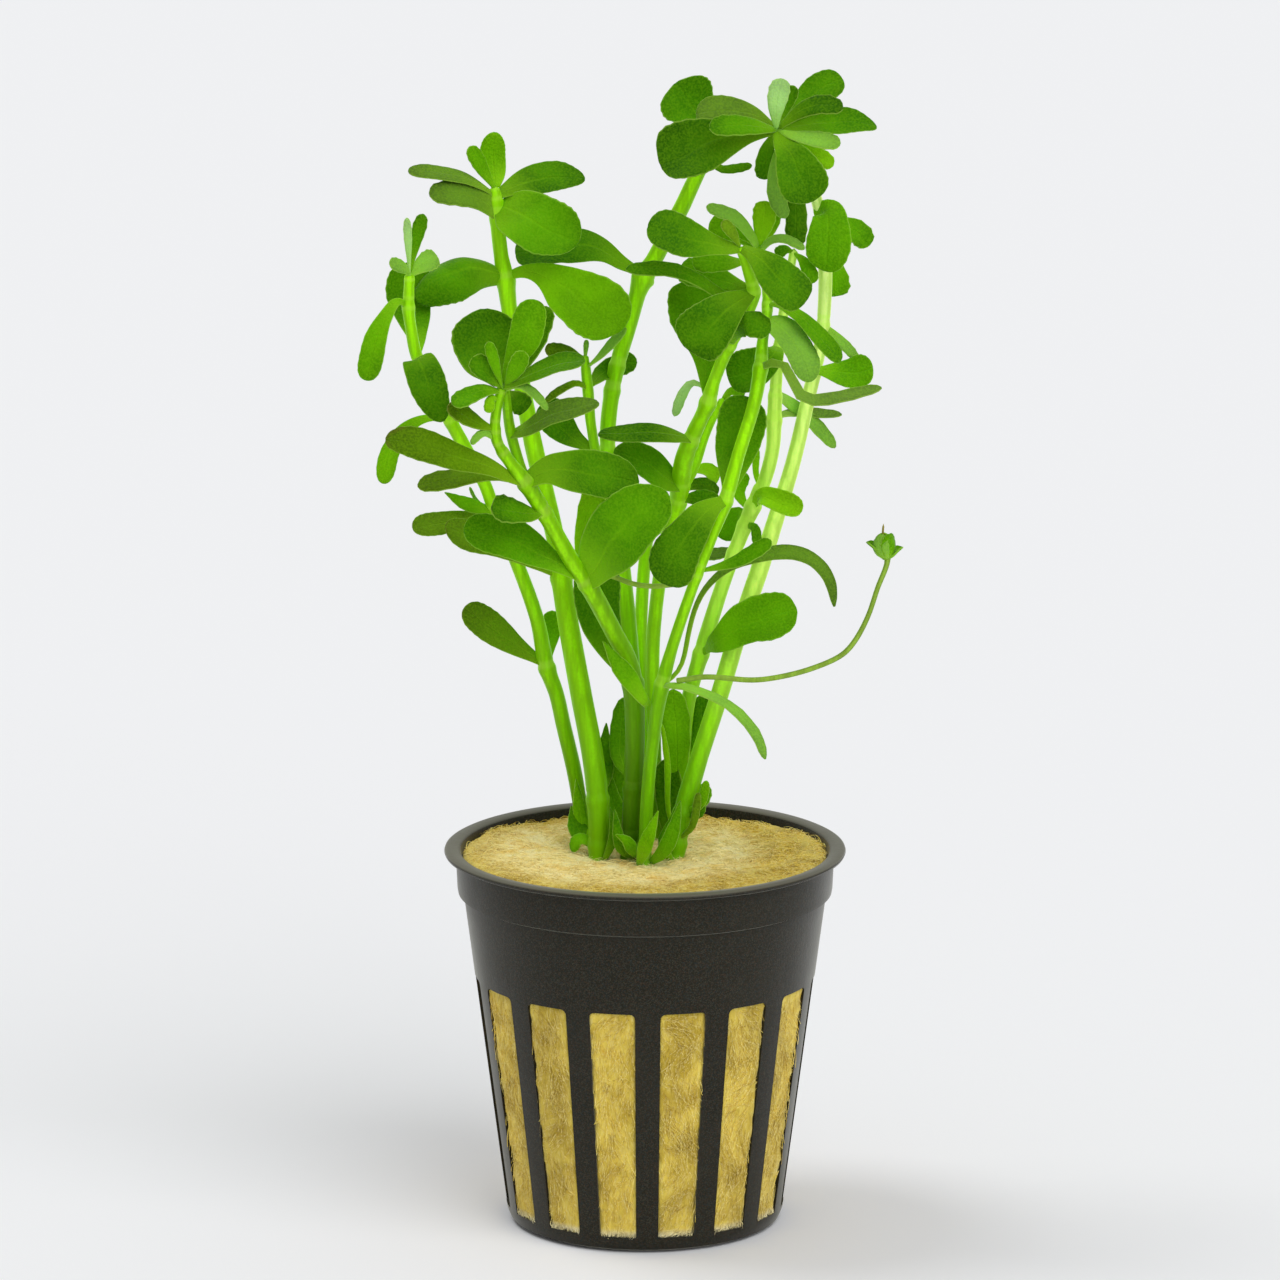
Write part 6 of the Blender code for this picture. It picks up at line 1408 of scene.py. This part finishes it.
class MONEYWORT_OT_wool_fibres(bpy.types.Operator):
    """Add the loose curled fibres on the rockwool's top and in the pot's slots"""

    bl_idname = "moneywort.wool_fibres"
    bl_label = "Rockwool fibres"

    def execute(self, context):
        sizes, colours = context.scene.moneywort_sizes, context.scene.moneywort_colours
        plug = bpy.data.objects["rockwool_plug"]
        look = wool_look("rockwool_fibre", tuple(colours.wool_light), tuple(colours.wool_dark), True)
        dice = random.Random(FIBRE_SEED)
        groups = {
            "rockwool_top_fibres": top_strands(dice, plug, sizes.top_fibres),
            "rockwool_slot_fibres": slot_strands(dice, sizes.slot_fibres),
        }
        for name, fibres in groups.items():
            piece = fibre_curve(name, fibres, sizes.fibre_width)
            piece.data.materials.append(look)
            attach(piece, "root")
        return {"FINISHED"}


# Stems

def joints_of(stem, path):
    """How far along the stem's path its leaves grow."""
    feet = [midrib[0] for *_, midrib in LEAVES.get(stem, ()) + SMALL_LEAVES.get(stem, ())]
    fine = path.spaced(TUBE_SPACING)
    found = []
    for across, up, back in feet:
        foot = seen(across, up, back * STEM_DEPTH)
        number = min(range(len(fine)), key=lambda i: (fine[i][0] - foot).length_squared)
        distance = path.length * number / (len(fine) - 1)
        if not any(abs(distance - other) < JOINT_SPACING for other in found):
            found.append(distance)
    return found


def tube(name, path, joints, swelling):
    """A round stem with a swollen ring at each joint, as a closed mesh."""
    stations = []
    steps = max(4, round(path.length / TUBE_SPACING))
    for step in range(steps + 1):
        distance = path.length * step / steps
        point, width = path.at(distance)
        swell = 1.0
        for joint in joints:
            for above, reach, share in JOINT_SHAPE:
                swell += share * swelling * math.exp(-(((distance - joint - above) / reach) ** 2))
        past = (distance - path.length + width / 2) / (width / 2)
        if past > 0:
            swell *= max(TIP_SHARE, math.sqrt(max(0.0, 1 - past**2)))
        stations.append((point, width / 2 * swell * MM, 0.0))
    obj = guide_curve(name, stations)
    obj.data.bevel_depth = 1.0
    obj.data.bevel_resolution = TUBE_SIDES // 2 - 2
    obj.data.use_fill_caps = True
    select_only(obj)
    bpy.ops.object.convert(target="MESH")
    obj = start_new(name)
    bpy.ops.object.mode_set(mode="EDIT")
    bpy.ops.mesh.select_all(action="SELECT")
    bpy.ops.mesh.remove_doubles(threshold=MERGE_DISTANCE)
    bpy.ops.mesh.normals_make_consistent(inside=False)
    bpy.ops.object.mode_set(mode="OBJECT")
    bpy.ops.object.shade_smooth()
    mark_joints(obj, [path.at(joint + JOINT_TINT_ABOVE)[0] * MM for joint in joints])
    mark_furrow_shade(obj, [station[0] * MM for station in stations])
    return obj


def mark_joints(obj, places):
    """Writes, at each point of a stem, 1 at a joint, falling to 0 as far as the joint's tint reaches."""
    mark = obj.data.attributes.new("joint", "FLOAT", "POINT")
    for vertex, value in zip(obj.data.vertices, mark.data):
        nearest = min(((vertex.co - place).length for place in places), default=1.0)
        value.value = max(0.0, 1.0 - nearest / (JOINT_REACH * MM))


def mark_furrow_shade(obj, centres):
    """Writes, at each point of a stem, 0 on its four blunt angles and 1 in the furrows between them, where
    its finish paints shade that darkens its sides as seen from the front.
    """
    axis = KDTree(len(centres))
    for number, centre in enumerate(centres):
        axis.insert(centre, number)
    axis.balance()
    mark = obj.data.attributes.new("furrow", "FLOAT", "POINT")
    for vertex, value in zip(obj.data.vertices, mark.data):
        offset = vertex.co - axis.find(vertex.co)[0]
        value.value = 0.5 - 0.5 * math.cos(4 * math.atan2(offset.y, offset.x))


# Leaves

def leaf_blank(name, outline, columns, rows):
    """A leaf from 0 to 1 along X, whose half width is 1 and whose edges are lifted by 1. Each column is
    shaped where the grid lies and then moved far aside, so that the next one is picked without it."""
    bpy.ops.mesh.primitive_grid_add(x_subdivisions=columns, y_subdivisions=rows, size=2)
    obj = start_new(name)
    far_aside = 10
    bpy.ops.object.mode_set(mode="EDIT")
    for number in range(rows // 2 + 1):
        across = 2 * number / rows
        pick(obj, lambda co: abs(abs(co.y) - across) < 0.01)
        bpy.ops.transform.translate(value=(0, 0, across**2))
    for number in range(columns + 1):
        share = number / columns
        t = 1 - (1 - share) ** CROWDING
        width = smooth(*zip(*OUTLINES[outline]), t)
        if TOOTHED_FROM < t and number < columns:
            width *= 1 + TOOTH_DEPTH * (-1) ** number * min(1.0, (t - TOOTHED_FROM) / TOOTHED_OVER)
        pick(obj, lambda co: abs(co.x - (2 * share - 1)) < 0.001)
        bpy.ops.transform.resize(value=(1, width, width), center_override=(0, 0, 0))
        bpy.ops.transform.translate(value=(far_aside + t - (2 * share - 1), 0, 0))
    bpy.ops.mesh.select_all(action="SELECT")
    bpy.ops.transform.translate(value=(-far_aside, 0, 0))
    bpy.ops.object.mode_set(mode="OBJECT")
    thickness = obj.vertex_groups.new(name="thickness")
    uv = obj.data.uv_layers[0].data
    for loop in obj.data.loops:
        off_middle = abs(uv[loop.index].uv.y - 0.5) * 2
        end = max(0.0, (uv[loop.index].uv.x - (1 - THIN_END)) / THIN_END)
        weight = max(0.0, (1 - off_middle**2) * (1 - end))
        thickness.add([loop.vertex_index], weight, "REPLACE")
    obj.hide_render = True
    return obj


def leaf_blanks(size, columns, rows):
    """A blank for each outline."""
    return {outline: leaf_blank(f"{size}_{outline}", outline, columns, rows) for outline in OUTLINES}


def blade_tilt(path, roll):
    """The tilt that turns the blade about its midrib, from facing the eye toward facing up."""
    chord = path.points[-1] - path.points[0]
    return math.radians(-roll if chord.x > 0 else roll)


def bent(blank, name, cup, guide):
    """A copy of a blank, its edges lifted by its cup, with the modifier that bends it along a guide."""
    guide.data.use_stretch = True
    guide.data.use_deform_bounds = True
    piece = own_copy(blank, name)
    piece.hide_render = False
    piece.scale.z = cup
    select_only(piece)
    bpy.ops.object.transform_apply()
    piece.modifiers.new("bend", "CURVE").object = guide
    return piece


def finish_blade(piece, guide, axes, tone):
    """Applies a blade's modifiers, turns it out of its guide's axes and gives it its tone."""
    apply_all(piece)
    piece.matrix_world = axes
    bpy.ops.object.transform_apply()
    bpy.ops.object.shade_smooth()
    discard(guide)
    piece.vertex_groups.clear()
    piece.data.materials.append(bpy.data.materials["moneywort_leaf_" + tone])
    return piece


def leaf_piece(name, blank, midrib, width_seen, roll, tone, sizes, levels):
    """A leaf bent along its midrib: the blank on a guide curve, dented, thickened and smoothed."""
    path = midrib_path(midrib)
    tilt = blade_tilt(path, roll)
    dice = random.Random(name)
    plain = (sizes.leaf_cup * dice.uniform(0.5, 1.5), width_seen / math.cos(math.radians(roll)) / 2)
    cup, half = FOLDED.get(name, plain)
    half *= MM
    twist = dice.uniform(-TWIST, TWIST)
    steps = max(6, round(path.length / GUIDE_SPACING))
    stations = []
    for step in range(steps + 1):
        share = step / steps
        point, _ = path.at(path.length * share)
        stations.append((point, half, tilt + twist * (share - 0.5)))
    guide = guide_curve(name + "_midrib", stations, VIEW)
    guide.data.twist_mode = "Z_UP"
    piece = bent(blank, name, cup, guide)
    rough(piece, sizes.leaf_crumple, CRUMPLE_SIZE, 1)
    wavy = rough(piece, WAVE_SHARE * half, WAVE_SIZE, 0)
    wavy.direction = "RGB_TO_XYZ"
    wavy.texture.cloud_type = "COLOR"
    thick = piece.modifiers.new("thickness", "SOLIDIFY")
    thick.thickness = sizes.leaf_thickness
    thick.offset = 0.0
    thick.vertex_group = "thickness"
    thick.thickness_vertex_group = RIM_THICKNESS
    if levels:
        finer = piece.modifiers.new("finer", "SUBSURF")
        finer.levels = levels
        finer.render_levels = levels
    return finish_blade(piece, guide, VIEW, tone)


class MONEYWORT_OT_finishes(bpy.types.Operator):
    """Make the finishes of the leaves and stems"""

    bl_idname = "moneywort.finishes"
    bl_label = "Plant finishes"

    def execute(self, context):
        colours = context.scene.moneywort_colours
        tip = tuple(colours.leaf_tip)
        for tone in LEAF_TONES:
            share = WITHERED_SHARE.get(tone, 0.0)
            leaf_look("moneywort_leaf_" + tone, tuple(getattr(colours, "leaf_" + tone)), tip, share)
        green, lime = tuple(colours.stem_green), tuple(colours.stem_lime)
        pale, red, stalk = tuple(colours.stem_pale), tuple(colours.stem_red), tuple(colours.stalk)
        # Tones at the top, the base, the middle and the foot, sheen, and the strength of the painted glow
        # that stands in for light coming through
        stems = {
            "green": (lime, lime, green, green, 0.15, 0.05),
            "lime": (lime, lime, blended(green, lime, 0.7), blended(green, lime, 0.3), 0.15, 0.1),
            "pale": (blended(pale, (0.9, 1.0, 0.5), 0.5), pale, lime, green, 0.3, 0.25),
            "tender": (pale, blended(pale, lime, 0.35), lime, green, 0.25, 0.22),
            # The deep stem's darker middle and foot are painted shade, where the stems crowd at the wool
            "deep": (lime, lime, darker(green, 0.7), darker(green, 0.4), 0.05, 0.0),
            "red": (red, red, green, green, 0.15, 0.0),
            "stalk": (stalk, stalk, stalk, stalk, 0.15, 0.0),
        }
        for tone, parts in stems.items():
            stem_look("moneywort_stem_" + tone, *parts)
        return {"FINISHED"}


class MONEYWORT_OT_stems(bpy.types.Operator):
    """Model each stem with its side shoots and the small leaves that grow on it"""

    bl_idname = "moneywort.stems"
    bl_label = "Stems"

    def execute(self, context):
        sizes = context.scene.moneywort_sizes
        blanks = leaf_blanks("small", SMALL_BLADE_COLUMNS, SMALL_BLADE_ROWS)
        for name, rows in STEMS.items():
            path = path_through(rows)
            tubes = [tube(name + "_tube", path, joints_of(name, path), sizes.joint_swelling)]
            for number, shoot in enumerate(SIDE_SHOOTS.get(name, ())):
                tubes.append(tube(f"{name}_shoot_{number}", path_through(shoot), [], 0.0))
            look = bpy.data.materials["moneywort_stem_" + STEM_TONES.get(name, "green")]
            for made in tubes:
                made.data.materials.append(look)
            for number, (outline, tone, width, roll, midrib) in enumerate(SMALL_LEAVES.get(name, ())):
                tubes.append(leaf_piece(
                    f"{name}_small_{number}", blanks[outline], midrib, width, roll, tone, sizes, 0
                ))
            piece = joined(name + "_grown", tubes)
            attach(piece, "root")
            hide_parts(name)
        discard(*blanks.values())
        return {"FINISHED"}


class MONEYWORT_OT_leaves(bpy.types.Operator):
    """Model the larger leaves, each as a piece of its own"""

    bl_idname = "moneywort.leaves"
    bl_label = "Leaves"

    def execute(self, context):
        sizes = context.scene.moneywort_sizes
        blanks = leaf_blanks("large", BLADE_COLUMNS, BLADE_ROWS)
        for name, outline, tone, width, roll, midrib in (row for rows in LEAVES.values() for row in rows):
            piece = leaf_piece(name + "_blade", blanks[outline], midrib, width, roll, tone, sizes, 1)
            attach(piece, "root")
            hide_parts(name)
        discard(*blanks.values())
        return {"FINISHED"}


# Flower stalks

def calyx_centre():
    across, up, back = CALYX_CENTRE
    return seen(across, up, back * STEM_DEPTH)


def sepal_path(number):
    """The way up a sepal, which rises out of the calyx and bellies outwards, and the turn to its side."""
    turn = 2 * math.pi * (number + SEPAL_TURN) / len(SEPALS)
    outward = Vector((math.cos(turn), math.sin(turn), 0.0))
    base = calyx_centre() - Vector((0, 0, CALYX_DROP))
    belly = CALYX_RADIUS * SEPAL_BELLY
    lean = Matrix.Rotation(-CALYX_LEAN, 3, "Y")
    points = [base]
    reaches, rise, _ = SEPALS[number]
    for reach, share in zip(reaches, SEPAL_RISES):
        points.append(base + lean @ (outward * belly * reach + Vector((0, 0, rise * share))))
    return Path(points, [0.0] * len(points)), turn


class MONEYWORT_OT_flower_stalks(bpy.types.Operator):
    """Model the two bare stalks, the longer one with an open calyx"""

    bl_idname = "moneywort.flower_stalks"
    bl_label = "Flower stalks"

    def execute(self, context):
        blank = leaf_blank("sepal_blank", "oval", SMALL_BLADE_COLUMNS, SMALL_BLADE_ROWS)
        for name, rows in FLOWER_STALKS.items():
            stalk = tube(name + "_tube", path_through(rows), [], 0.0)
            stalk.data.materials.append(bpy.data.materials["moneywort_stem_stalk"])
            parts = [stalk]
            if name == "flower_stalk":
                parts += [self.sepal(number, blank) for number in range(len(SEPALS))]
                foot = calyx_centre()
                points = [foot + Vector((across, 0, up)) for across, up, _ in STYLE]
                style = tube("style", Path(points, [width for *_, width in STYLE]), [], 0.0)
                style.data.materials.append(bpy.data.materials["moneywort_stem_red"])
                parts.append(style)
            piece = joined(name + "_grown", parts)
            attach(piece, "root")
            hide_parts(name)
        discard(blank)
        return {"FINISHED"}

    def sepal(self, number, blank):
        """A sepal: the blank on a guide that rises from the calyx, its cupped face inwards."""
        path, turn = sepal_path(number)
        stations = [(point, SEPAL_WIDTH * MM, 0.0) for point, _ in path.spaced(SEPAL_SPACING)]
        upright = Matrix.Rotation(turn, 4, "Z") @ Matrix.Rotation(-math.pi / 2, 4, "Y")
        guide = guide_curve("sepal_guide", stations, upright)
        made = bent(blank, f"sepal_{number}", SEPAL_CUP, guide)
        made.modifiers.new("thickness", "SOLIDIFY").thickness = SEPAL_THICKNESS * MM
        return finish_blade(made, guide, upright, SEPALS[number][2])


# Stage

class MONEYWORT_OT_stage(bpy.types.Operator):
    """Add the floor, the lights and the camera"""

    bl_idname = "moneywort.stage"
    bl_label = "Stage"

    def execute(self, context):
        scene = context.scene
        bpy.ops.mesh.primitive_plane_add(size=FLOOR_SIZE)
        floor = start_new("floor")
        tint = (*scene.moneywort_colours.floor, 1.0)
        floor.data.materials.append(
            Look("pale_floor", 0.9, Specular_IOR_Level=0.0, Base_Color=tint).material
        )
        for name, place, strength, spread in SUNS:
            bpy.ops.object.light_add(type="SUN", location=place)
            lamp = start_new(name)
            lamp.data.energy = strength
            lamp.data.angle = math.radians(spread)
            lamp.rotation_euler = (-Vector(place)).to_track_quat("-Z", "Y").to_euler()
        world = scene.world or bpy.data.worlds.new("studio")
        scene.world = world
        world.use_nodes = True
        sky = world.node_tree.nodes["Background"].inputs
        sky["Color"].default_value = (1.0, 1.0, 1.0, 1.0)
        sky["Strength"].default_value = SKY_STRENGTH
        bpy.ops.object.camera_add()
        camera = start_new("view_camera")
        camera.matrix_world = Matrix.Translation(EYE * MM) @ VIEW
        camera.data.lens = EYE_LENS
        camera.data.sensor_width = EYE_SENSOR
        camera.data.clip_start = EYE_CLIP
        scene.camera = camera
        scene.view_settings.view_transform = "Standard"
        return {"FINISHED"}


STEPS = (
    MONEYWORT_OT_stage, MONEYWORT_OT_net_pot, MONEYWORT_OT_rockwool, MONEYWORT_OT_wool_fibres,
    MONEYWORT_OT_finishes, MONEYWORT_OT_stems, MONEYWORT_OT_leaves, MONEYWORT_OT_flower_stalks,
)


class MONEYWORT_PT_panel(bpy.types.Panel):
    """Lists the pieces in the order in which they are made, and what can be changed in them"""

    bl_idname = "MONEYWORT_PT_panel"
    bl_label = "Potted moneywort"
    bl_space_type = "VIEW_3D"
    bl_region_type = "UI"
    bl_category = "Moneywort"

    def draw(self, context):
        for step in STEPS:
            self.layout.operator(step.bl_idname)
        for group in (context.scene.moneywort_sizes, context.scene.moneywort_colours):
            box = self.layout.box()
            for key in group.__annotations__:
                box.prop(group, key)


CLASSES = (MoneywortSizes, MoneywortColours, *STEPS, MONEYWORT_PT_panel)


def register():
    for made in CLASSES:
        bpy.utils.register_class(made)
    bpy.types.Scene.moneywort_sizes = PointerProperty(type=MoneywortSizes)
    bpy.types.Scene.moneywort_colours = PointerProperty(type=MoneywortColours)


def unregister():
    del bpy.types.Scene.moneywort_colours
    del bpy.types.Scene.moneywort_sizes
    for made in reversed(CLASSES):
        bpy.utils.unregister_class(made)


def main():
    register()
    bpy.ops.object.select_all(action="DESELECT")
    for step in STEPS:
        group, name = step.bl_idname.split(".")
        getattr(getattr(bpy.ops, group), name)()


if __name__ == "__main__":
    main()
